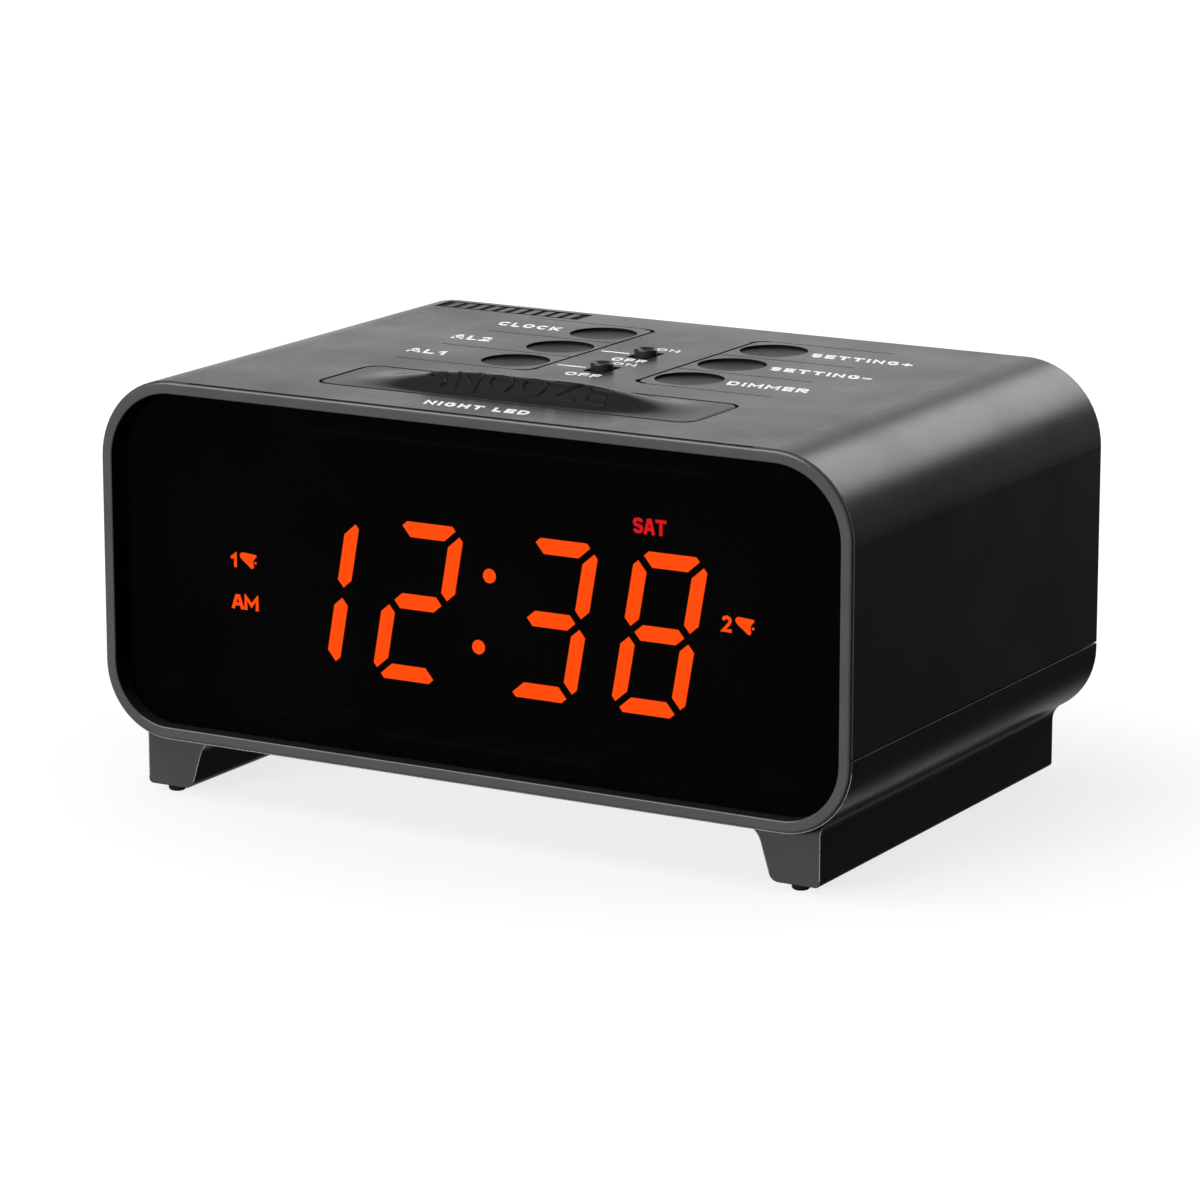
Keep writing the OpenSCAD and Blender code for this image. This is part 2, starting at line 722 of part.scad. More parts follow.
module push_button(column, row) {
    rim_z = top_z - button_sink;
    flange_top = ceiling_z - flange_gap;
    stem_z = tact_top_z + button_travel + stem_clear;
    dish_r = (button_r * button_r + dish_depth * dish_depth) / (2 * dish_depth);
    color(colour_key) translate([column * button_x, row_ys[row], 0]) difference() {
        union() {
            post(0, 0, flange_top - flange_t, rim_z, button_r);
            post(0, 0, flange_top - flange_t, flange_top, button_flange_r);
            post(0, 0, stem_z, flange_top, 2);
        }
        translate([0, 0, rim_z - dish_depth + dish_r]) sphere(r = dish_r, $fn = 200);
    }
}

module clock_button() push_button(-1, 2);
module al2_button() push_button(-1, 1);
module al1_button() push_button(-1, 0);
module setting_plus_button() push_button(1, 2);
module setting_minus_button() push_button(1, 1);
module dimmer_button() push_button(1, 0);

module switch_knob(row) {
    crown = knob_rise + top_z;
    shield_z = ceiling_z - flange_gap - 0.8;
    dish = 0.5;
    dish_rim = knob_r - 0.55;
    dish_r = (dish_rim * dish_rim + dish * dish) / (2 * dish);
    color([0.12, 0.12, 0.13]) translate([0, slot_ys[row], 0]) difference() {
        union() {
            post(0, 0, shield_z, crown - 0.25, knob_r);
            translate([0, 0, crown - 0.25 - eps]) cylinder(r1 = knob_r, r2 = knob_r - 0.25, h = 0.25 + eps);
            // Dust shield under the top face, and the fork that drives the switch
            block(-3.6, 3.6, -4.8, 4.8, shield_z, shield_z + 0.8);
            block(-0.9, 0.9, -1, 1, key_board_z + board_t + 3.9, shield_z + 0.1);
        }
        translate([0, 0, crown - dish + dish_r]) sphere(r = dish_r, $fn = 100);
    }
}

module al1_switch_knob() switch_knob(0);
module al2_switch_knob() switch_knob(1);

module slide_switch_bodies() {
    z = key_board_z + board_t;
    color(colour_steel) for (y = slot_ys) difference() {
        block(-2.6, 2.6, y - 5, y + 5, z, z + 4.8);
        block(-1.3, 1.3, y - 3, y + 3, z + 3.5, z + 5);
    }
}

module tact_switches() {
    z = key_board_z + board_t;
    color([0.15, 0.15, 0.16]) {
        for (s = [-1, 1]) {
            for (y = row_ys) {
                block(s * button_x - tact_s / 2, s * button_x + tact_s / 2,
                    y - tact_s / 2, y + tact_s / 2, z, z + tact_h);
                post(s * button_x, y, z + tact_h - eps, tact_top_z, tact_cap_r);
            }
            block(s * snooze_tact_x - tact_s / 2, s * snooze_tact_x + tact_s / 2,
                snooze_mid_y - tact_s / 2, snooze_mid_y + tact_s / 2, z, z + tact_h);
            post(s * snooze_tact_x, snooze_mid_y, z + tact_h - eps, tact_top_z, tact_cap_r);
        }
    }
}

module key_pcb() {
    color(colour_board) difference() {
        block(-key_board_w / 2, key_board_w / 2, key_board_y0, key_board_y1,
            key_board_z, key_board_z + board_t - fit);
        for (x = key_post_xs, y = key_post_ys)
            post(x, y, key_board_z - 1, key_board_z + board_t + 1, pilot_r + 0.2);
    }
}

module key_pcb_screws() {
    color(colour_steel) for (x = key_post_xs, y = key_post_ys)
        translate([x, y, key_board_z]) rotate([180, 0, 0]) pan_screw(small_head_r, 1.2, small_screw_r, 5.5);
}

// Flat cable that hangs from the key board to the main board
module key_ribbon() {
    y = main_board_y0 + 22;
    color([0.8, 0.8, 0.82]) union() {
        block(-40, -39.4, y, y + 14, main_board_z + board_t, key_board_z - 1.6);
        block(-41, -38.4, y, y + 14, key_board_z - 2.4, key_board_z);
    }
}

module top_inlay() {
    // Plain inlay with a row of equal ribs
    ribs = 10;
    rib_pitch = (badge_w - 3) / ribs;
    color([0.1, 0.1, 0.11]) union() {
        translate([badge_x, badge_y, top_z - badge_t]) linear_extrude(badge_t - 0.25)
            square([badge_w - 0.2, badge_d - 0.2], center = true);
        for (i = [0:ribs - 1]) translate([badge_x - badge_w / 2 + 1.5 + (i + 0.5) * rib_pitch, badge_y,
            top_z - badge_t]) linear_extrude(badge_t - 0.05)
            square([rib_pitch * 0.55, badge_d - 1.6], center = true);
    }
}

// ---------- inside ----------

module main_pcb() {
    color(colour_board) difference() {
        block(main_board_x0, main_board_x1, main_board_y0, main_board_y1,
            main_board_z, main_board_z + board_t);
        for (x = standoff_xs, y = standoff_ys)
            post(x, y, main_board_z - 1, main_board_z + board_t + 1, pilot_r + 0.2);
    }
}

module main_pcb_screws() {
    color(colour_steel) for (x = standoff_xs, y = standoff_ys)
        translate([x, y, main_board_z + board_t]) pan_screw(small_head_r, 1.2, small_screw_r, 6);
}

module control_chip() {
    z = main_board_z + board_t;
    color([0.07, 0.07, 0.08]) union() {
        block(-20, -8, -4, 8, z + 0.4, z + 2);
        for (i = [0:9], s = [-1, 1])
            block(-14 + s * 7 - 1.1, -14 + s * 7 + 1.1, -3.2 + i * 1.15, -2.7 + i * 1.15, z, z + 1);
    }
}

module capacitors() {
    z = main_board_z + board_t;
    color([0.12, 0.16, 0.3]) {
        post(-26, 30, z, z + 12, 4);
        post(-14, 30, z, z + 12, 4);
        post(-4, 32, z, z + 9, 3.15);
        post(6, 20, z, z + 9, 3.15);
    }
}

module tuner_can() {
    z = main_board_z + board_t;
    color(colour_steel) difference() {
        block(-4, 12, -14, 8, z, z + 6);
        for (i = [0:2]) post(4, -9 + i * 6, z + 5, z + 7, 1.2);
    }
}

module dc_jack() {
    z = main_board_z + board_t;
    mouth_y = panel_y1;
    color([0.1, 0.1, 0.11]) difference() {
        union() {
            block(jack_x - 4.5, jack_x + 4.5, mouth_y - 14, mouth_y - 3.4, z, z + 11);
            translate([jack_x, mouth_y, jack_axis_z]) rotate([90, 0, 0]) cylinder(r = jack_nose_r, h = 6);
        }
        translate([jack_x, mouth_y + 1, jack_axis_z]) rotate([90, 0, 0]) difference() {
            cylinder(r = jack_hole_r, h = 10);
            translate([0, 0, 2]) cylinder(r = jack_pin_r, h = 10);
        }
    }
}

// The speaker faces the rear panel
module at_speaker(y) {
    translate([speaker_x, y, speaker_z]) rotate([90, 0, 0]) children();
}

module speaker_frame() {
    color(colour_steel) at_speaker(speaker_front_y) difference() {
        union() {
            cylinder(r = speaker_r, h = speaker_flange_t);
            cylinder(r1 = speaker_r - 2.5, r2 = 12, h = 11);
        }
        translate([0, 0, -1]) cylinder(r = speaker_r - 4, h = 1 + speaker_flange_t);
        translate([0, 0, speaker_flange_t - eps]) cylinder(r1 = speaker_r - 4, r2 = 10.6, h = 10);
        for (a = [0:60:359]) rotate([0, 0, a]) translate([17.2, 0, 3]) cylinder(r = 3.2, h = 12);
    }
}

module speaker_cone() {
    color([0.1, 0.1, 0.1]) at_speaker(speaker_front_y - 0.6) difference() {
        union() {
            cylinder(r = speaker_r - 4.3, h = 0.8);
            cylinder(r1 = 16, r2 = 7, h = 8);
        }
        translate([0, 0, -eps]) cylinder(r1 = 15.2, r2 = 6.4, h = 7.4);
    }
}

module speaker_magnet() {
    color([0.3, 0.3, 0.32]) at_speaker(speaker_front_y - 11.1) union() {
        cylinder(r = 13, h = 5);
        cylinder(r = 10, h = 7);
    }
}

module speaker_screws() {
    color(colour_steel) at_speaker_screws(panel_y0 - boss_h) pan_screw(3, 1, small_screw_r, 2.6);
}

// ---------- underside ----------

// The door slides out backwards, held by a tongue along each side
module battery_door() {
    half = door_w / 2;
    y1 = back_y - 0.2;
    color(colour_case) translate([door_x, 0, under_z]) difference() {
        union() {
            block(-half, half, door_y0, y1, 0, door_t);
            block(-half - tongue_w, half + tongue_w, door_y0, y1, door_t - tongue_t, door_t);
        }
        // Grip lines, and an arrow that points the way the door slides
        for (i = [0:4]) block(-9, 9, y1 - 4 - i * 1.6, y1 - 3.3 - i * 1.6, -1, 0.4);
        translate([0, y1 - 20, -1]) linear_extrude(1.4) polygon([[-4, 0], [4, 0], [0, 5]]);
    }
}

module backup_cells() {
    color([0.75, 0.76, 0.78]) for (s = [-1, 1]) translate([door_x - cell_l / 2, well_y + s * 5.6, cell_z])
        rotate([0, 90, 0]) {
            cylinder(r = cell_r, h = cell_l - 1);
            translate([0, 0, cell_l - 1 - eps]) cylinder(r = 1.9, h = 1);
        }
}

module battery_contacts() {
    x = well_w / 2 - 0.1;
    color(colour_steel) for (s = [-1, 1]) block(min(door_x + s * x, door_x + s * (x - 0.6)),
        max(door_x + s * x, door_x + s * (x - 0.6)), well_y - 10.4, well_y + 10.4, cell_z - 4, cell_z + 4);
}

module night_light_lens() {
    color([0.9, 0.9, 0.86, 0.7]) translate([0, night_y, under_z + 0.2]) linear_extrude(wall - 0.4)
        round_rect(night_w - 0.2, night_d - 0.2, night_d / 2 - 0.1 - eps);
}

module night_led_board() {
    z = night_board_z;
    color(colour_board) union() {
        block(-23.4, 23.4, night_y - 3, night_y + 3, z, z + 1);
        for (x = [-14:7:14]) block(x - 1.4, x + 1.4, night_y - 1, night_y + 1, z - 0.9, z + 0.1);
    }
}

module rubber_feet() {
    color([0.06, 0.06, 0.06]) for (sx = [-1, 1], sy = [-1, 1])
        translate([sx * (foot_in_x + foot_out_x) / 2, sy * (body_d / 2 - foot_setback - pad_in), 0])
            rotate_extrude() union() {
                square([pad_r - 0.6, pad_proud]);
                translate([0, 0.6]) square([pad_r, pad_proud - 0.6]);
                translate([pad_r - 0.6, 0.6]) circle(r = 0.6);
            }
}

module case_screws() {
    color(colour_steel) for (s = [-1, 1], y = post_ys) translate([s * post_x, y, head_seat_z])
        rotate([180, 0, 0]) pan_screw(case_head_r, 2, case_screw_r, case_screw_tip_z - head_seat_z);
}

upper_housing();
lower_housing();
rear_panel();
front_bezel();
display_lens();
led_module();
lit_segments();
unlit_segments();
display_pcb();
display_ribbon();
snooze_bar();
snooze_frame();
clock_button();
al2_button();
al1_button();
setting_plus_button();
setting_minus_button();
dimmer_button();
al1_switch_knob();
al2_switch_knob();
slide_switch_bodies();
tact_switches();
key_pcb();
key_pcb_screws();
key_ribbon();
top_inlay();
main_pcb();
main_pcb_screws();
control_chip();
capacitors();
tuner_can();
dc_jack();
speaker_frame();
speaker_cone();
speaker_magnet();
speaker_screws();
battery_door();
backup_cells();
battery_contacts();
night_light_lens();
night_led_board();
rubber_feet();
case_screws();
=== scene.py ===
"""Bedside clock radio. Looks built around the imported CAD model, for Blender 4.5. Metres, +Z up."""
import math

import bmesh
import bpy
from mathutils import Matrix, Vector
from mathutils.bvhtree import BVHTree


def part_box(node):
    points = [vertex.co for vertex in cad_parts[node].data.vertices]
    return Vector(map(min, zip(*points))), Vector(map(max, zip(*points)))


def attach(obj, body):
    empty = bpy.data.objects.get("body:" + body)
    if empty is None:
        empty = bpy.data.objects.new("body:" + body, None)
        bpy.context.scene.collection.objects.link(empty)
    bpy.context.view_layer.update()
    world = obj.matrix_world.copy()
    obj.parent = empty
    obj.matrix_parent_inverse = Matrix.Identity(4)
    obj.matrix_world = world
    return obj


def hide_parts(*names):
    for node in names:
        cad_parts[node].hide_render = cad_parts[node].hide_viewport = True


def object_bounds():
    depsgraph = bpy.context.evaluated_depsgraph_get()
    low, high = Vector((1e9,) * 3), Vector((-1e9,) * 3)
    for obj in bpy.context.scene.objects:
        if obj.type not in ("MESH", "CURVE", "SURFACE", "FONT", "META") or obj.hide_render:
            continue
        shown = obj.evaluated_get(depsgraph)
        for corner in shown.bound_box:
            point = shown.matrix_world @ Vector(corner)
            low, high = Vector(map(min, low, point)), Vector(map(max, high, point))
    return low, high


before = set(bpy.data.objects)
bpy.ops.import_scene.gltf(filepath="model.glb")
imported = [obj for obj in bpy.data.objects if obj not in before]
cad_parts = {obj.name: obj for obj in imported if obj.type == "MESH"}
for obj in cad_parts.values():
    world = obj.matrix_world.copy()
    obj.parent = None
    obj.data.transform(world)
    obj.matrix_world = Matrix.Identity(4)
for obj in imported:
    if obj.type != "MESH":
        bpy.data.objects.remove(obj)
cad_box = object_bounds()
scene = bpy.context.scene
MM = 0.001

FRONT_Y = cad_box[0].y
TOP_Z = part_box("upper_housing")[1].z
SEGMENT_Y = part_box("lit_segments")[0].y


# ---------------------------------------------------------------- camera

# solved from the photograph's perspective
LENS_MM = 152.086
SENSOR_MM = 36.0
CAMERA_PLACE = (0.47215, -0.81883, 0.2566)
CAMERA_TARGET = (0.029193, -0.05175, 0.049706)
CLIP_NEAR, CLIP_FAR = 0.01, 50.0


def look_at(obj, target):
    obj.rotation_euler = (Vector(target) - obj.location).to_track_quat("-Z", "Y").to_euler()


camera_data = bpy.data.cameras.new("camera")
camera_data.lens = LENS_MM
camera_data.sensor_width = SENSOR_MM
camera_data.clip_start = CLIP_NEAR
camera_data.clip_end = CLIP_FAR
camera = bpy.data.objects.new("camera", camera_data)
scene.collection.objects.link(camera)
camera.location = CAMERA_PLACE
look_at(camera, CAMERA_TARGET)
scene.camera = camera
scene.view_settings.view_transform = "Standard"
scene.view_settings.look = "None"


# ---------------------------------------------------------------- materials

NOISE_LOW, NOISE_HIGH = 0.3, 0.7      # most of a noise texture lies between these
BEVEL_SAMPLES = 6
# cosine between the rounded and the flat normal: on a flat face, and at a sharp edge
FLAT_DOT, EDGE_DOT = 0.97, 0.75
BROAD_MM = 9.0      # patches of mottled colour
SMEAR_MM = 24.0     # patches of more and less gloss
# black of the painted shade in grooves, gaps and recesses
SHADE_BLACK = (0.0015, 0.0015, 0.0015)
MATT_ROUGH = 0.9
COAT_ROUGH = 0.12


class Tree:
    """Short names for building one material's nodes."""

    def __init__(self, name):
        self.mat = bpy.data.materials.new(name)
        self.mat.use_nodes = True
        self.nt = self.mat.node_tree
        self.bsdf = self.nt.nodes["Principled BSDF"]
        self.coords = self.add("ShaderNodeTexCoord").outputs["Object"]

    def add(self, kind, **values):
        node = self.nt.nodes.new(kind)
        for key, value in values.items():
            setattr(node, key, value)
        return node

    def put(self, value, socket):
        """Links an output to a socket, or sets the socket to a plain value."""
        if isinstance(value, bpy.types.NodeSocket):
            self.nt.links.new(value, socket)
        elif socket.type == "RGBA":
            socket.default_value = (*value, 1.0)
        else:
            socket.default_value = value

    def set(self, **values):
        """Sets or links the shader's own sockets, with _ for a space in their names."""
        for key, value in values.items():
            self.put(value, self.bsdf.inputs[key.replace("_", " ")])

    def noise(self, size_mm, detail=2.0, rough=0.5, stretch=None):
        """Soft noise with features of a size in mm. stretch is how much closer they come along each axis."""
        node = self.add("ShaderNodeTexNoise")
        self.put(1.0 / (size_mm * MM), node.inputs["Scale"])
        self.put(detail, node.inputs["Detail"])
        self.put(rough, node.inputs["Roughness"])
        self.put(self.scaled(stretch) if stretch else self.coords, node.inputs["Vector"])
        return node.outputs["Fac"]

    def scaled(self, scale):
        node = self.add("ShaderNodeMapping")
        self.put(scale, node.inputs["Scale"])
        self.put(self.coords, node.inputs["Vector"])
        return node.outputs[0]

    def remap(self, source, low, high, from_low=NOISE_LOW, from_high=NOISE_HIGH):
        """Spreads a value over low to high. Without from_low and from_high it is a noise texture's."""
        node = self.add("ShaderNodeMapRange")
        self.put(from_low, node.inputs["From Min"])
        self.put(from_high, node.inputs["From Max"])
        self.put(low, node.inputs["To Min"])
        self.put(high, node.inputs["To Max"])
        self.put(source, node.inputs["Value"])
        return node.outputs["Result"]

    # A Mix node has one A, one B and one result for each kind of value, so they go by number.
    def mix_colour(self, fac, a, b):
        node = self.add("ShaderNodeMix", data_type="RGBA")
        self.put(fac, node.inputs[0])
        self.put(a, node.inputs[6])
        self.put(b, node.inputs[7])
        return node.outputs[2]

    def mix_value(self, fac, a, b):
        node = self.add("ShaderNodeMix", data_type="FLOAT")
        self.put(fac, node.inputs[0])
        self.put(a, node.inputs[2])
        self.put(b, node.inputs[3])
        return node.outputs[0]

    def mottle(self, source, colour, darkest, lightest):
        """The colour, from darkest to lightest times itself, after a texture's value."""
        return self.mix_colour(self.remap(source, 0.0, 1.0), shade(colour, darkest), shade(colour, lightest))

    def maths(self, operation, a, b):
        node = self.add("ShaderNodeMath", operation=operation)
        self.put(a, node.inputs[0])
        self.put(b, node.inputs[1])
        return node.outputs[0]

    def vector_maths(self, operation, a, b=None):
        node = self.add("ShaderNodeVectorMath", operation=operation)
        self.put(a, node.inputs[0])
        if b is not None:
            self.put(b, node.inputs[1])
        return node.outputs["Value" if operation in ("LENGTH", "DOT_PRODUCT") else "Vector"]

    def split(self):
        node = self.add("ShaderNodeSeparateXYZ")
        self.put(self.coords, node.inputs[0])
        return node.outputs

    def bump(self, height, strength, distance, normal=None):
        node = self.add("ShaderNodeBump")
        self.put(strength, node.inputs["Strength"])
        self.put(distance, node.inputs["Distance"])
        self.put(height, node.inputs["Height"])
        if normal is not None:
            self.put(normal, node.inputs["Normal"])
        return node.outputs["Normal"]

    def inside(self, low, high, half_width):
        """1 where a point lies between two heights and not too far left or right, else 0."""
        x, _, z = self.split()
        upright = self.maths("MULTIPLY", self.maths("GREATER_THAN", z, low), self.maths("LESS_THAN", z, high))
        wide = self.maths("MULTIPLY", self.maths("GREATER_THAN", x, -half_width),
                          self.maths("LESS_THAN", x, half_width))
        return self.maths("MULTIPLY", upright, wide)

    def in_recess(self, half, mid_z, radius, inset, from_y):
        """1 behind the plane from_y and more than inset inside a rounded rectangle, else 0."""
        x, y, z = self.split()
        flat = self.add("ShaderNodeCombineXYZ")
        self.put(x, flat.inputs[0])
        self.put(z, flat.inputs[2])
        from_middle = self.vector_maths("SUBTRACT", flat.outputs[0], (0.0, 0.0, mid_z))
        corner = (half[0] - radius, 0.0, half[1] - radius)
        past = self.vector_maths("SUBTRACT", self.vector_maths("ABSOLUTE", from_middle), corner)
        past = self.vector_maths("MAXIMUM", past, (0.0, 0.0, 0.0))
        near = self.maths("LESS_THAN", self.vector_maths("LENGTH", past), radius - inset)
        return self.maths("MULTIPLY", near, self.maths("GREATER_THAN", y, from_y))

    def round_edges(self, radius):
        node = self.add("ShaderNodeBevel", samples=BEVEL_SAMPLES)
        self.put(radius, node.inputs["Radius"])
        return node.outputs["Normal"]

    def highlight_edges(self, radius):
        """0 on flat faces, towards 1 at a sharp edge."""
        flat = self.add("ShaderNodeNewGeometry").outputs["True Normal"]
        dot = self.vector_maths("DOT_PRODUCT", self.round_edges(radius), flat)
        return self.remap(dot, 0.0, 1.0, FLAT_DOT, EDGE_DOT)


def shade(colour, k):
    return tuple(min(1.0, c * k) for c in colour)


def moulded(name, colour, rough, rough_spread=0.06, grain=0.22, bump=0.12, depth=0.02,
            edge=0.0, spread=0.12, metallic=0.0, specular=0.5, coat=0.0, shade_band=None, shade_recess=None, edge_highlight=None):
    """Moulded or painted surface: fine grain in mm, mottled colour and gloss, rounded edges in mm.
    A band given for shade, as (lowest z, highest z, half width), is filled with matt black: painted shade in
    grooves and gaps. A recess given as in_recess()'s values is filled in the same way, with painted shade.
    Edge highlights, given as (radius, colour, lowest z, highest z) in mm, paint that colour along rounded
    edges: a painted highlight."""
    t = Tree(name)
    fine = t.noise(grain, 3.0, 0.6)
    broad = t.noise(BROAD_MM, 3.0, 0.55)
    smear = t.noise(SMEAR_MM, 4.0, 0.6)
    base = t.mix_colour(0.5, t.mottle(broad, colour, 1 - spread, 1 + spread),
                        t.mottle(fine, colour, 1 - spread, 1 + spread))
    gloss = t.remap(smear, rough - rough_spread, rough + rough_spread)
    # painted highlight: a light colour along rounded edges, between two heights
    if edge_highlight:
        radius, highlight_colour, low, high = edge_highlight
        everywhere = 1.0
        share = t.maths("MULTIPLY", t.highlight_edges(radius * MM), t.inside(low * MM, high * MM, everywhere))
        base = t.mix_colour(share, base, highlight_colour)
    # painted shade: grooves, gaps and the ring's inner sides are filled with matt black
    if shade_band or shade_recess:
        shaded = t.inside(*shade_band) if shade_band else t.in_recess(*shade_recess)
        base = t.mix_colour(shaded, base, SHADE_BLACK)
        gloss = t.mix_value(shaded, gloss, MATT_ROUGH)
    normal = t.round_edges(edge * MM) if edge else None
    t.set(Base_Color=base, Roughness=gloss, Normal=t.bump(fine, bump, depth * MM, normal),
          Metallic=metallic, Specular_IOR_Level=specular)
    if coat:
        t.set(Coat_Weight=coat, Coat_Roughness=COAT_ROUGH)
    return t.mat


def lit(name, colour, strength):
    """A lit display element: even glow, with a faint mottle in the diffuser's own colour."""
    t = Tree(name)
    t.set(Base_Color=t.mottle(t.noise(1.6), colour, 0.04, 0.06), Roughness=0.6, Specular_IOR_Level=0.1,
          Emission_Color=colour, Emission_Strength=strength)
    return t.mat


def smoked_lens():
    t = Tree("smoked_lens")
    haze = t.noise(30.0, 3.0)
    t.set(Base_Color=t.mix_colour(t.remap(haze, 0.0, 1.0), (0.0007, 0.0006, 0.0007),
                                  (0.0010, 0.0009, 0.0009)),
          Roughness=t.remap(haze, 0.03, 0.06), Specular_IOR_Level=0.25, Alpha=0.7)
    return t.mat


def brushed(name, colour):
    """Bare metal with fine parallel lines."""
    t = Tree(name)
    lines = t.noise(0.15, 3.0, 0.6, (1.0, 0.06, 1.0))
    t.set(Base_Color=t.mottle(lines, colour, 0.85, 1.1), Roughness=t.remap(lines, 0.24, 0.4),
          Normal=t.bump(lines, 0.1, 0.01 * MM), Metallic=1.0)
    return t.mat


BOARD_TRACKS, TRACK_WIDTH = 140.0, 0.06      # scale of the pattern, and its lines' share of it


def board(name, mask, track):
    """Solder mask over copper tracks."""
    t = Tree(name)
    tracks = t.add("ShaderNodeTexBrick")
    t.put(BOARD_TRACKS, tracks.inputs["Scale"])
    t.put(TRACK_WIDTH, tracks.inputs["Mortar Size"])
    t.put(t.coords, tracks.inputs["Vector"])
    pattern = tracks.outputs["Fac"]
    t.set(Base_Color=t.mix_colour(pattern, mask, track), Roughness=t.remap(t.noise(3.0), 0.3, 0.42),
          Normal=t.bump(pattern, 0.2, 0.03 * MM))
    return t.mat


CORES = 260.0      # scale of the waves along X


def ribbon(name, valley, ridge):
    """Flat cable with its parallel cores."""
    t = Tree(name)
    wave = t.add("ShaderNodeTexWave", wave_type="BANDS", bands_direction="X")
    t.put(CORES, wave.inputs["Scale"])
    t.put(t.coords, wave.inputs["Vector"])
    cores = wave.outputs["Fac"]
    t.set(Base_Color=t.mix_colour(cores, valley, ridge), Normal=t.bump(cores, 0.5, 0.2 * MM), Roughness=0.45)
    return t.mat


CASE = (0.035, 0.035, 0.036)
KEY = (0.008, 0.008, 0.0085)
# painted shade, filled with matt black: the engraved outlines and key openings in the top, the sides of the
# snooze bar, and the valleys between the ribs of the inlay
GROOVE_SHADE = (TOP_Z - 0.9 * MM, TOP_Z - 0.04 * MM, 60.0 * MM)
SNOOZE_SIDE_SHADE = (TOP_Z - 9 * MM, TOP_Z - 0.12 * MM, 60 * MM)
INLAY_VALLEY_SHADE = (TOP_Z - 0.9 * MM, TOP_Z - 0.2 * MM, 80.0 * MM)
RING_HALF = ((cad_box[1].x - cad_box[0].x) / 2, (TOP_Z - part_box("front_bezel")[0].z) / 2)
# the ring's half size, middle height and corner radius, the width of its front face, and where its inner
# sides start to be painted black: painted shade over the ring's inner sides
RING_RECESS_SHADE = (RING_HALF, TOP_Z - RING_HALF[1], 15.0 * MM, 1.4 * MM, FRONT_Y + 0.32 * MM)
# painted highlights along the rounded edges of the feet and the bottom curve, and of the ring
LOW_EDGE_HIGHLIGHTS = (0.45, (0.42, 0.42, 0.42), 2.6, 24.0)
RING_EDGE_HIGHLIGHTS = (0.25, (0.34, 0.34, 0.34), 24.0, 90.0)

top_plastic = moulded("case_plastic_top", CASE, 0.27, edge=0.07, shade_band=GROOVE_SHADE)
case_plastic = moulded("case_plastic", CASE, 0.22, edge=0.22, edge_highlight=LOW_EDGE_HIGHLIGHTS)
bezel_plastic = moulded("bezel_plastic", (0.062, 0.062, 0.064), 0.3, grain=0.12, bump=0.02, metallic=0.25,
                        coat=0.4, shade_recess=RING_RECESS_SHADE, edge_highlight=RING_EDGE_HIGHLIGHTS)
key_plastic = moulded("key_plastic", KEY, 0.3, edge=0.2, specular=0.1)
snooze_plastic = moulded("snooze_plastic", (0.015, 0.015, 0.0155), 0.16, bump=0.05, specular=0.075,
                         shade_band=SNOOZE_SIDE_SHADE)
word_plastic = moulded("word_plastic", (0.012, 0.012, 0.0125), 0.32, bump=0.05, specular=0.13)
knob_plastic = moulded("knob_plastic", (0.014, 0.014, 0.0145), 0.3, 0.04, edge=0.3)
display_black = moulded("display_black", (0.002, 0.002, 0.002), 0.7, specular=0.1)
segment_dark = moulded("segment_dark", (0.0035, 0.002, 0.0018), 0.6, specular=0.1)
switch_black = moulded("switch_black", (0.012, 0.012, 0.013), 0.5)
inlay_dark = moulded("inlay_dark", (0.01, 0.01, 0.0105), 0.3, shade_band=INLAY_VALLEY_SHADE)
chip_black = moulded("chip_black", (0.01, 0.01, 0.011), 0.55)
capacitor_blue = moulded("capacitor_blue", (0.02, 0.035, 0.11), 0.35, coat=0.3)
cone_paper = moulded("cone_paper", (0.012, 0.012, 0.012), 0.75, grain=0.5, bump=0.5, depth=0.1)
magnet_ferrite = moulded("magnet_ferrite", (0.05, 0.05, 0.055), 0.6, grain=0.4, bump=0.4)
cell_jacket = moulded("cell_jacket", (0.42, 0.42, 0.44), 0.3, metallic=0.8)
night_diffuser = moulded("night_diffuser", (0.78, 0.77, 0.72), 0.4, grain=0.4)
rubber_black = moulded("rubber_black", (0.008, 0.008, 0.008), 0.65, grain=0.3, bump=0.4, depth=0.05)
print_white = moulded("print_white", (0.93, 0.93, 0.93), 0.45, grain=0.12, bump=0.2, depth=0.01, spread=0.04)
lens_material = smoked_lens()
LIT_STRENGTH = 11.7
lit_orange = lit("lit_orange", (1.0, 0.0705, 0.0029), LIT_STRENGTH)
lit_red = lit("lit_red", (0.62, 0.008, 0.012), LIT_STRENGTH)
steel = brushed("steel_plain", (0.55, 0.56, 0.58))
board_green = board("board_green", (0.012, 0.09, 0.04), (0.02, 0.14, 0.06))
board_black = board("board_black", (0.002, 0.002, 0.002), (0.004, 0.004, 0.004))
ribbon_grey = ribbon("ribbon_grey", (0.32, 0.32, 0.34), (0.5, 0.5, 0.52))

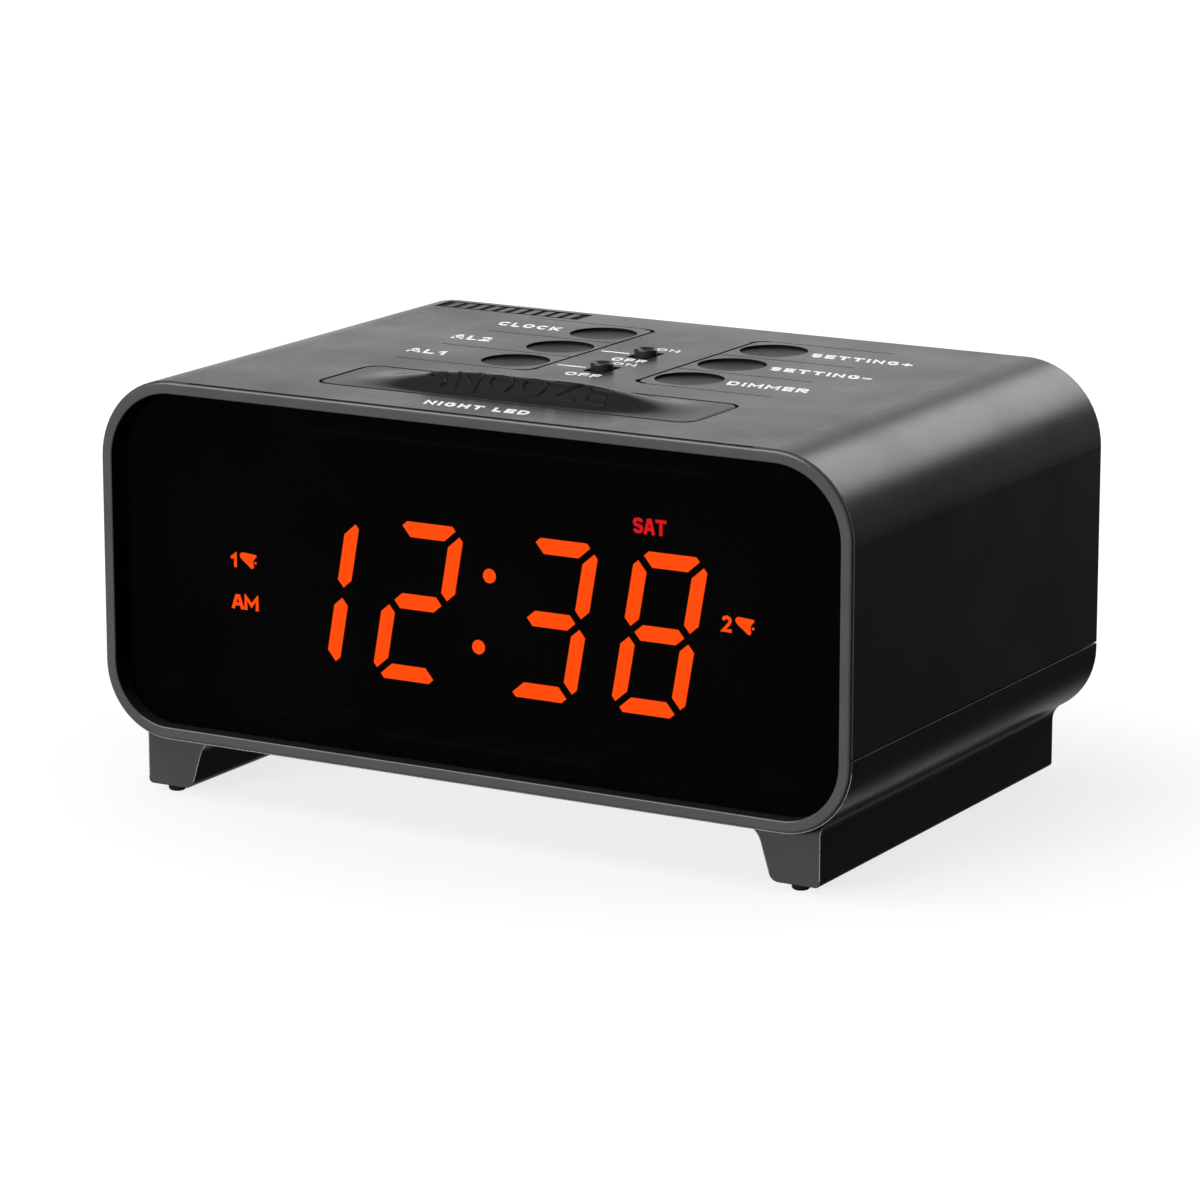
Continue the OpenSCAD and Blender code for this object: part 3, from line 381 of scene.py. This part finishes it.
LOOKS = {
    "upper_housing": top_plastic, "lower_housing": case_plastic, "rear_panel": case_plastic,
    "battery_door": case_plastic, "front_bezel": bezel_plastic, "display_lens": lens_material,
    "led_module": display_black, "lit_segments": lit_orange, "unlit_segments": segment_dark,
    "display_pcb": board_black, "display_ribbon": ribbon_grey, "snooze_bar": key_plastic,
    "snooze_frame": key_plastic, "clock_button": key_plastic, "al2_button": key_plastic,
    "al1_button": key_plastic, "setting_plus_button": key_plastic, "setting_minus_button": key_plastic,
    "dimmer_button": key_plastic, "al1_switch_knob": knob_plastic, "al2_switch_knob": knob_plastic,
    "slide_switch_bodies": steel, "tact_switches": switch_black, "key_pcb": board_green,
    "key_pcb_screws": steel, "key_ribbon": ribbon_grey, "top_inlay": inlay_dark, "main_pcb": board_green,
    "main_pcb_screws": steel, "control_chip": chip_black, "capacitors": capacitor_blue, "tuner_can": steel,
    "dc_jack": switch_black, "speaker_frame": steel, "speaker_cone": cone_paper,
    "speaker_magnet": magnet_ferrite, "speaker_screws": steel, "backup_cells": cell_jacket,
    "battery_contacts": steel, "night_light_lens": night_diffuser, "night_led_board": board_green,
    "rubber_feet": rubber_black, "case_screws": steel,
}
for node_name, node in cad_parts.items():
    node.data.materials.clear()
    node.data.materials.append(LOOKS[node_name])


# ---------------------------------------------------------------- lettering and printed marks


def new_piece(name, mesh, look, body):
    piece = bpy.data.objects.new(name, mesh)
    scene.collection.objects.link(piece)
    mesh.materials.clear()
    mesh.materials.append(look)
    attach(piece, body)
    return piece


def to_mesh(bm, name):
    mesh = bpy.data.meshes.new(name)
    bm.to_mesh(mesh)
    bm.free()
    return mesh


# Plain stroke lettering. Each glyph is its width and its strokes; a stroke's points run from 0 to 1 both
# ways, and its last item says whether it closes. "s" stops beside the left upright and "e" beside the right
# one, "t" stops below the bar on top and "u" at the foot of a bowl.
GLYPHS = {
    "A": (1.0, [([(0, 0), (0.38, 1), (0.62, 1), (1, 0)], False), ([(0.2, 0.28), (0.8, 0.28)], False)]),
    "C": (1.0, [([(1, 0.8), (0.82, 0.95), (0.5, 1), (0.15, 0.9), (0, 0.65), (0, 0.35), (0.15, 0.1), (0.5, 0),
                  (0.82, 0.05), (1, 0.2)], False)]),
    "D": (1.0, [([(0, 0), (0, 1), (0.5, 1), (0.85, 0.9), (1, 0.65), (1, 0.35), (0.85, 0.1),
                  (0.5, 0)], True)]),
    "E": (0.9, [([(1, 1), (0, 1), (0, 0), (1, 0)], False), ([("s", 0.5), (0.9, 0.5)], False)]),
    "F": (0.85, [([(1, 1), (0, 1), (0, 0)], False), ([("s", 0.5), (0.9, 0.5)], False)]),
    "G": (1.0, [([(1, 0.8), (0.82, 0.95), (0.5, 1), (0.15, 0.9), (0, 0.65), (0, 0.35), (0.15, 0.1), (0.5, 0),
                  (0.85, 0.04), (1, 0.18), (1, 0.46), (0.6, 0.46)], False)]),
    "H": (1.0, [([(0, 0), (0, 1)], False), ([(1, 0), (1, 1)], False), ([("s", 0.5), ("e", 0.5)], False)]),
    "I": (0.0, [([(0, 0), (0, 1)], False)]),
    "K": (1.0, [([(0, 0), (0, 1)], False), ([(1, 1), (0.3, 0.5), (1, 0)], False)]),
    "L": (0.8, [([(0, 1), (0, 0), (1, 0)], False)]),
    "M": (1.2, [([(0, 0), (0, 1), (0.5, 0.3), (1, 1), (1, 0)], False)]),
    "N": (1.0, [([(0, 0), (0, 1), (1, 0), (1, 1)], False)]),
    "O": (1.05, [([(0, 0.35), (0, 0.65), (0.15, 0.9), (0.5, 1), (0.85, 0.9), (1, 0.65), (1, 0.35),
                   (0.85, 0.1), (0.5, 0), (0.15, 0.1)], True)]),
    "R": (1.0, [([(0, 0), (0, 1), (0.7, 1), (0.93, 0.93), (1, 0.73), (0.93, 0.53), (0.7, 0.46),
                  ("s", 0.46)], False), ([(0.55, "u"), (1, 0)], False)]),
    "S": (0.95, [([(1, 0.8), (0.86, 0.94), (0.5, 1), (0.14, 0.94), (0, 0.76), (0.1, 0.58), (0.5, 0.5),
                   (0.9, 0.42), (1, 0.24), (0.86, 0.06), (0.5, 0), (0.14, 0.06), (0, 0.2)], False)]),
    "T": (1.0, [([(0, 1), (1, 1)], False), ([(0.5, "t"), (0.5, 0)], False)]),
    "Z": (1.0, [([(0, 1), (1, 1), (0, 0), (1, 0)], False)]),
    "1": (0.5, [([(0, 0.74), (1, 1), (1, 0)], False)]),
    "2": (0.9, [([(0, 0.76), (0.14, 0.94), (0.5, 1), (0.88, 0.92), (1, 0.74), (0.88, 0.54), (0, 0),
                  (1, 0)], False)]),
    "+": (0.95, [([(0, 0.45), (1, 0.45)], False)]),
    "-": (0.8, [([(0, 0.45), (1, 0.45)], False)]),
}
WORD_SPACE = 0.5
BOWL_FOOT = 0.46     # height of the "u" ends
PLUS_ARM = 0.36      # from the middle of the plus sign to its upper end
SHARPEST_MITRE = 0.45
ROUND_ENDED = "CGS"  # letters whose strokes stop where they are drawn
TINY = 1e-6


def stroke_sides(path, half, closed):
    """Left and right points along a path, mitred at its corners."""
    left, right = [], []
    count = len(path)
    for i, here in enumerate(path):
        before = path[i - 1] if i or closed else None
        after = path[(i + 1) % count] if i < count - 1 or closed else None
        a = (here - before).normalized() if before is not None else (after - here).normalized()
        b = (after - here).normalized() if after is not None else a
        normal = Vector((-a.y - b.y, a.x + b.x))
        normal = normal.normalized() if normal.length > TINY else Vector((-a.y, a.x))
        reach = half / max(SHARPEST_MITRE, normal.dot(Vector((-a.y, a.x))))
        left.append(here + normal * reach)
        right.append(here - normal * reach)
    return left, right


def runs_on(letter, points, end):
    """Whether a stroke runs on past its drawn end by half its weight: not on round letters, and not where
    it ends at another stroke."""
    return letter not in ROUND_ENDED and (letter, end) != ("2", 0) and not any(
        isinstance(v, str) for v in points[end])


def glyph_paths(letter, pen, width, weight):
    """Middle lines of a letter's strokes, one unit high."""

    def place(point):
        u, v = point
        x = {"s": weight, "e": width - weight}.get(u)
        y = {"t": 1 - weight, "u": BOWL_FOOT * (1 - weight)}.get(v)
        return Vector((pen + (weight / 2 + u * (width - weight) if x is None else x),
                       weight / 2 + v * (1 - weight) if y is None else y))

    paths = []
    for points, closed in GLYPHS[letter][1]:
        path = [place(point) for point in points]
        for end, inner in ((0, 1), (-1, -2)):
            if not closed and runs_on(letter, points, end):
                path[end] = path[end] + (path[end] - path[inner]).normalized() * weight / 2
        paths.append((path, closed))
    if letter == "+":
        x, mid = pen + width / 2, paths[0][0][0].y
        paths += [([Vector((x, mid + s * weight / 2)), Vector((x, mid + s * PLUS_ARM))], False)
                  for s in (1, -1)]
    return paths


def text_mesh(name, words, ratio, weight, gap, slant=0.0):
    """Plain lettering as a mesh one unit high, ratio units long and one unit thick."""
    bm = bmesh.new()
    widths = [GLYPHS[letter][0] for letter in words if letter != " "]
    spaces = words.count(" ")
    fixed = abs(slant) + gap * (len(words) - 1 - spaces) + spaces * WORD_SPACE
    fixed += weight * widths.count(0)
    wide = (ratio - fixed) / sum(widths)
    pen = 0.0
    for letter in words:
        if letter == " ":
            pen += WORD_SPACE
            continue
        width = max(GLYPHS[letter][0] * wide, weight)
        for path, closed in glyph_paths(letter, pen, width, weight):
            rows = [[bm.verts.new((q.x + slant * q.y, q.y, z)) for q in sides for z in (0.0, 1.0)]
                    for sides in zip(*stroke_sides(path, weight / 2, closed))]
            spans = list(zip(rows, rows[1:])) + ([(rows[-1], rows[0])] if closed else [])
            for (l0, l1, r0, r1), (m0, m1, s0, s1) in spans:
                for corners in ((l1, r1, s1, m1), (l0, m0, s0, r0), (l0, l1, m1, m0), (r0, s0, s1, r1)):
                    bm.faces.new(corners)
            if not closed:
                for l0, l1, r0, r1 in (rows[0], rows[-1]):
                    bm.faces.new((l0, r0, r1, l1))
        pen += width + gap
    bmesh.ops.recalc_face_normals(bm, faces=bm.faces[:])
    return to_mesh(bm, name)


def fit(mesh, *spans):
    """Moves and scales a mesh into a box, given as its (low, high) along x, y and z in metres. Where the mesh
    has no thickness, it goes to low."""
    for i, (low, high) in enumerate(spans):
        places = [v.co[i] for v in mesh.vertices]
        first, size = min(places), max(places) - min(places)
        for v in mesh.vertices:
            k = (v.co[i] - first) / size if size > TINY else 0.0
            v.co[i] = low + k * (high - low)


def slab(name, x_span, y_span, z_span):
    bm = bmesh.new()
    bmesh.ops.create_cube(bm, size=1.0)
    for v in bm.verts:
        v.co = Vector([span[v.co[i] > 0] for i, span in enumerate((x_span, y_span, z_span))])
    return to_mesh(bm, name)


# print stands 0.03 mm proud of the top face and reaches 0.01 mm into it
PRINT_Z = (TOP_Z - 0.01 * MM, TOP_Z + 0.03 * MM)
# lettering is drawn this much too long and then narrowed, so that its upright strokes come out thinner
WIDENED = 1.35
KEY_CAPITALS, SWITCH_CAPITALS = 4.0, 3.0


def printed(name, words, x0, x1, y_mid, high=KEY_CAPITALS):
    """White lettering on the top face. Sizes in mm; y_mid is counted from the front ring."""
    mesh = text_mesh(name, words, WIDENED * (x1 - x0) / high, weight=0.22, gap=0.22, slant=-0.33)
    y = FRONT_Y + y_mid * MM
    fit(mesh, (x0 * MM, x1 * MM), (y - high / 2 * MM, y + high / 2 * MM), PRINT_Z)
    new_piece(name, mesh, print_white, "case")


LABELS = [
    ("label_al1", "AL1", -42.6, -34.0, 51.0), ("label_al2", "AL2", -42.8, -33.9, 67.7),
    ("label_clock", "CLOCK", -42.8, -28.0, 84.5), ("label_setting_plus", "SETTING+", 27.3, 49.3, 84.4),
    ("label_setting_minus", "SETTING-", 27.1, 49.0, 68.0), ("label_dimmer", "DIMMER", 26.8, 44.8, 51.2),
    ("label_night_led", "NIGHT LED", -12.3, 10.5, 7.0),
    ("label_off_1", "OFF", -4.2, 3.4, 44.6, SWITCH_CAPITALS),
    ("label_off_2", "OFF", -4.0, 3.4, 61.9, SWITCH_CAPITALS),
    ("label_on_1", "ON", -1.4, 4.2, 57.8, SWITCH_CAPITALS),
    ("label_on_2", "ON", -1.4, 4.2, 74.8, SWITCH_CAPITALS),
]
for label in LABELS:
    printed(*label)

LEAD_X = (-9.7 * MM, -3.5 * MM)
LEAD_HALF = 0.3 * MM
for i, y_mid in enumerate((51.3, 68.1)):
    y = FRONT_Y + y_mid * MM
    lead = slab(f"lead_line_{i + 1}", LEAD_X, (y - LEAD_HALF, y + LEAD_HALF), PRINT_Z)
    new_piece(lead.name, lead, print_white, "case")


# ---------------------------------------------------------------- snooze bar

CAP_CORNER = 3.25 * MM
CAP_EDGE = 0.45 * MM
DOME_HALF_X = 38 * MM
DOME_RUN = 28 * MM       # length over which the dome rises from each end
DOME_HALF_Y = 9.9 * MM
CAP_COLUMNS, CAP_ROWS = 180, 44
NEAR_EDGE = [0.0, 0.05 * MM, 0.12 * MM, 0.22 * MM, 0.34 * MM, CAP_EDGE]


def ease(t):
    t = min(1.0, max(0.0, t))
    return t * t * (3 - 2 * t)


def steps(half, count):
    """Places from -half to half, close together near both ends."""
    inner = half - CAP_EDGE
    mid = [inner * (2 * k / count - 1) for k in range(1, count)]
    return [-half + d for d in NEAR_EDGE] + mid + [half - d for d in reversed(NEAR_EDGE)]


def snooze_cap():
    """Smooth domed bar with rounded edges, in place of the coarser solid."""
    low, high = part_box("snooze_bar")
    mid = (low + high) / 2
    hw, hd = (high.x - low.x) / 2, (high.y - low.y) / 2
    rise = high.z - TOP_Z

    def half_depth(x):
        over = abs(x) - hw + CAP_CORNER
        if over <= 0:
            return hd
        return hd - CAP_CORNER + math.sqrt(max(0.0, CAP_CORNER ** 2 - over ** 2))

    def inset(x, y):
        """Distance inside the outline, right near it."""
        over_x, over_y = abs(x) - hw + CAP_CORNER, abs(y) - hd + CAP_CORNER
        if over_x > 0 and over_y > 0:
            return CAP_CORNER - math.hypot(over_x, over_y)
        return min(hw - abs(x), hd - abs(y))

    def height(x, y):
        along_x = ease((DOME_HALF_X - abs(x)) / DOME_RUN)
        along_y = math.cos(math.pi / 2 * min(1.0, abs(y) / DOME_HALF_Y)) ** 2
        short = max(0.0, CAP_EDGE - max(0.0, inset(x, y)))
        return TOP_Z + rise * along_x * along_y - (CAP_EDGE - math.sqrt(CAP_EDGE ** 2 - short ** 2))

    bm = bmesh.new()
    columns = [[bm.verts.new((mid.x + x, mid.y + y, height(x, y))) for y in steps(half_depth(x), CAP_ROWS)]
               for x in steps(hw, CAP_COLUMNS)]
    for a, b in zip(columns, columns[1:]):
        for k in range(len(a) - 1):
            bm.faces.new((a[k], b[k], b[k + 1], a[k + 1]))
    rim = columns[0][:-1] + [c[-1] for c in columns[:-1]]
    rim += columns[-1][:0:-1] + [c[0] for c in columns[:0:-1]]
    foot = [bm.verts.new((v.co.x, v.co.y, low.z)) for v in rim]
    for k in range(len(rim)):
        n = (k + 1) % len(rim)
        bm.faces.new((rim[k], rim[n], foot[n], foot[k]))
    bm.faces.new(foot)
    bmesh.ops.recalc_face_normals(bm, faces=bm.faces[:])
    for face in bm.faces:
        face.smooth = len(face.verts) == 4 and face.normal.z > 0.02
    piece = new_piece("snooze_cap", to_mesh(bm, "snooze_cap"), snooze_plastic, "snooze")
    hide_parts("snooze_bar")
    return piece


# mm; the word's front is counted from the front ring, and it is sunk a little into the bar
WORD_LONG, WORD_HIGH, WORD_FRONT = 40.4, 6.9, 16.0
WORD_SINK, WORD_RAISE, WORD_ROUNDING = 0.25, 0.36, 0.22
WORD_GRID = 0.5


def cut_grid(bm, step):
    """Cuts a mesh by planes step apart along x and y, so that it can bend."""
    for axis in (0, 1):
        normal = Vector((axis == 0, axis == 1, 0))
        low = min(v.co[axis] for v in bm.verts)
        high = max(v.co[axis] for v in bm.verts)
        k = math.ceil(low / step)
        while k * step < high:
            bmesh.ops.bisect_plane(bm, geom=bm.verts[:] + bm.edges[:] + bm.faces[:],
                                   plane_co=normal * (k * step), plane_no=normal)
            k += 1


def raised_word(bar):
    """The word on the snooze bar, raised from its domed top and following it."""
    surface = BVHTree.FromObject(bar, bpy.context.evaluated_depsgraph_get())
    mesh = text_mesh("snooze_word", "SNOOZE", WORD_LONG / WORD_HIGH, weight=0.19, gap=0.16, slant=-0.2)
    front = FRONT_Y + WORD_FRONT * MM
    fit(mesh, (-WORD_LONG / 2 * MM, WORD_LONG / 2 * MM), (front, front + WORD_HIGH * MM),
        (-WORD_SINK * MM, WORD_RAISE * MM))
    bm = bmesh.new()
    bm.from_mesh(mesh)
    top = [e for e in bm.edges if min(v.co.z for v in e.verts) > 0
           and any(min(v.co.z for v in f.verts) < 0 for f in e.link_faces)]
    bmesh.ops.bevel(bm, geom=top, offset=WORD_ROUNDING * MM, segments=3, affect="EDGES")
    cut_grid(bm, WORD_GRID * MM)
    above, down = TOP_Z + 10 * MM, Vector((0, 0, -1))
    for v in bm.verts:
        hit, normal, _, _ = surface.ray_cast(Vector((v.co.x, v.co.y, above)), down)
        v.co = hit + normal * v.co.z
    bm.to_mesh(mesh)
    bm.free()
    new_piece("snooze_word", mesh, word_plastic, "snooze")


raised_word(snooze_cap())


# ---------------------------------------------------------------- display indicators

INDICATOR_FRONT = SEGMENT_Y - 0.02 * MM
INDICATOR_BACK = SEGMENT_Y + 0.08 * MM
CLAPPER = (0.925, 0.4)
CLAPPER_RADII = (0.075, 0.085)
CLAPPER_SIDES = 12


def on_display(name, mesh, x0, x1, z0, z1, look):
    """Stands a flat mesh up in the plane of the display, facing the front. Sizes in mm."""
    fit(mesh, (x0 * MM, x1 * MM), (z0 * MM, z1 * MM), (0.0, 1.0))
    for v in mesh.vertices:
        depth = INDICATOR_BACK + (INDICATOR_FRONT - INDICATOR_BACK) * v.co.z
        v.co = Vector((v.co.x, depth, v.co.y))
    new_piece(name, mesh, look, "case")


def indicator(name, words, x0, x1, z0, z1, look):
    mesh = text_mesh(name, words, (x1 - x0) / (z1 - z0), weight=0.21, gap=0.05)
    on_display(name, mesh, x0, x1, z0, z1, look)


def bell(name, x0, x1, z0, z1):
    """A flat tipped bell: a wide cup that opens down to the right, with its clapper at the mouth."""
    cup = [
        (0.0, 0.74), (0.01, 0.86), (0.07, 0.95), (0.18, 1.0), (0.36, 0.985), (0.6, 0.96), (0.84, 0.94),
        (0.96, 0.92), (1.0, 0.86), (0.96, 0.77), (0.88, 0.67), (0.82, 0.56), (0.79, 0.46), (0.80, 0.34),
        (0.83, 0.2), (0.82, 0.07), (0.74, 0.0), (0.64, 0.03), (0.52, 0.16), (0.38, 0.30), (0.22, 0.44),
        (0.07, 0.60),
    ]
    turns = [math.tau * k / CLAPPER_SIDES for k in range(CLAPPER_SIDES)]
    clapper = [(CLAPPER[0] + CLAPPER_RADII[0] * math.cos(a), CLAPPER[1] + CLAPPER_RADII[1] * math.sin(a))
               for a in turns]
    bm = bmesh.new()
    faces = [bm.faces.new([bm.verts.new((x, y, 0.0)) for x, y in outline]) for outline in (cup, clapper)]
    # new faces have no normal, so this closes each outline with a second face in the same plane
    bmesh.ops.solidify(bm, geom=faces, thickness=1.0)
    bmesh.ops.recalc_face_normals(bm, faces=bm.faces[:])
    on_display(name, to_mesh(bm, name), x0, x1, z0, z1, lit_orange)


indicator("indicator_1", "1", -54.3, -52.9, 45.4, 48.4, lit_orange)
bell("indicator_bell_1", -52.2, -48.4, 45.4, 48.4)
indicator("indicator_am", "AM", -54.2, -48.1, 37.3, 40.5, lit_orange)
indicator("indicator_sat", "SAT", 32.9, 39.8, 61.4, 64.4, lit_red)
indicator("indicator_2", "2", 50.9, 53.2, 45.4, 48.5, lit_orange)
bell("indicator_bell_2", 53.9, 57.8, 45.4, 48.5)


# ---------------------------------------------------------------- floor and light

WHITE = (1.0, 1.0, 1.0)
FLOOR_HALF = 6.0
# a soft pool of shade around the object: its half sizes, where it starts and ends in them, and how bright
# the floor is there
POOL_X, POOL_Y = 0.10, 0.075
POOL_FROM, POOL_TO = 0.9, 1.95
POOL_DARK, POOL_LIGHT = 0.795, 0.97


def floor():
    h = FLOOR_HALF
    mesh = bpy.data.meshes.new("floor")
    mesh.from_pydata([(-h, -h, 0), (h, -h, 0), (h, h, 0), (-h, h, 0)], [], [(0, 1, 2, 3)])
    obj = bpy.data.objects.new("floor", mesh)
    scene.collection.objects.link(obj)
    t = Tree("floor_pale")
    patches = t.remap(t.noise(1000 / 3), 0.0, 1.0)
    reach = t.vector_maths("LENGTH", t.scaled((1.0 / POOL_X, 1.0 / POOL_Y, 1.0)))
    t.set(Base_Color=t.mix_colour(patches, (0.13, 0.13, 0.131), (0.14, 0.14, 0.14)), Roughness=0.9,
          Specular_IOR_Level=0.0, Emission_Color=WHITE,
          Emission_Strength=t.remap(reach, POOL_DARK, POOL_LIGHT, POOL_FROM, POOL_TO))
    mesh.materials.append(t.mat)
    obj.visible_glossy = False
    obj.visible_diffuse = False


floor()

# soft boxes of the surround: direction, cosine at which each starts and is full, and strength
LOW_LIGHT = ((-0.2, 0.97, 0.0), 0.745, 0.94, 0.71)       # low and wide behind, to the left
LOW_LIGHT_BAND = (-0.22, -0.10, 0.36, 0.46)              # heights at which it fades in and out
BOXES = (
    ((0.11, 0.843, 0.50), 0.92, 0.99, 2.65),             # above it, straight behind
    ((-0.35, -0.3, 0.89), 0.86, 0.93, 3.6),              # overhead, to the left and in front
    ((-0.45, 0.8, -0.5), 0.80, 0.98, 0.26),              # floor behind the object
)
ALL_ROUND = 0.035


def studio():
    """A surround of soft boxes, as a pattern over the direction of each ray."""
    world = bpy.data.worlds.new("studio")
    scene.world = world
    world.use_nodes = True
    nt = world.node_tree
    out = nt.nodes["Background"]
    coords = nt.nodes.new("ShaderNodeTexCoord").outputs["Generated"]

    def maths(operation, a, b):
        node = nt.nodes.new("ShaderNodeMath")
        node.operation = operation
        for socket, value in zip(node.inputs, (a, b)):
            if isinstance(value, float):
                socket.default_value = value
            else:
                nt.links.new(value, socket)
        return node.outputs[0]

    def ramp(value, low, high):
        node = nt.nodes.new("ShaderNodeMapRange")
        node.interpolation_type = "SMOOTHSTEP"
        nt.links.new(value, node.inputs["Value"])
        node.inputs["From Min"].default_value = low
        node.inputs["From Max"].default_value = high
        return node.outputs["Result"]

    def towards(direction, start, full, strength):
        node = nt.nodes.new("ShaderNodeVectorMath")
        node.operation = "DOT_PRODUCT"
        nt.links.new(coords, node.inputs[0])
        node.inputs[1].default_value = Vector(direction).normalized()
        return maths("MULTIPLY", ramp(node.outputs["Value"], start, full), strength)

    split = nt.nodes.new("ShaderNodeSeparateXYZ")
    nt.links.new(coords, split.inputs[0])
    z = split.outputs[2]
    in_from, in_to, out_from, out_to = LOW_LIGHT_BAND
    band = maths("MULTIPLY", ramp(z, in_from, in_to), maths("SUBTRACT", 1.0, ramp(z, out_from, out_to)))
    total = maths("MULTIPLY", band, towards(*LOW_LIGHT))
    for box in BOXES:
        total = maths("ADD", total, towards(*box))
    total = maths("ADD", total, ALL_ROUND)

    seen = nt.nodes.new("ShaderNodeMix")
    seen.data_type = "FLOAT"
    nt.links.new(nt.nodes.new("ShaderNodeLightPath").outputs["Is Camera Ray"], seen.inputs[0])
    nt.links.new(total, seen.inputs[2])
    seen.inputs[3].default_value = 1.0
    nt.links.new(seen.outputs[0], out.inputs["Strength"])
    out.inputs["Color"].default_value = (*WHITE, 1.0)


studio()

LIGHT_SIZE = (1.0, 0.5)
LIGHT_TARGET = (0, 0, 0.04)


def soft_box(name, location, power):
    data = bpy.data.lights.new(name, "AREA")
    data.shape = "RECTANGLE"
    data.size, data.size_y = LIGHT_SIZE
    data.energy = power
    obj = bpy.data.objects.new(name, data)
    scene.collection.objects.link(obj)
    obj.location = location
    look_at(obj, LIGHT_TARGET)
    obj.visible_glossy = False


soft_box("front_light", (-0.6, -2.0, 0.4), 80.0)
soft_box("back_light", (-0.3, 2.0, 0.45), 16.0)
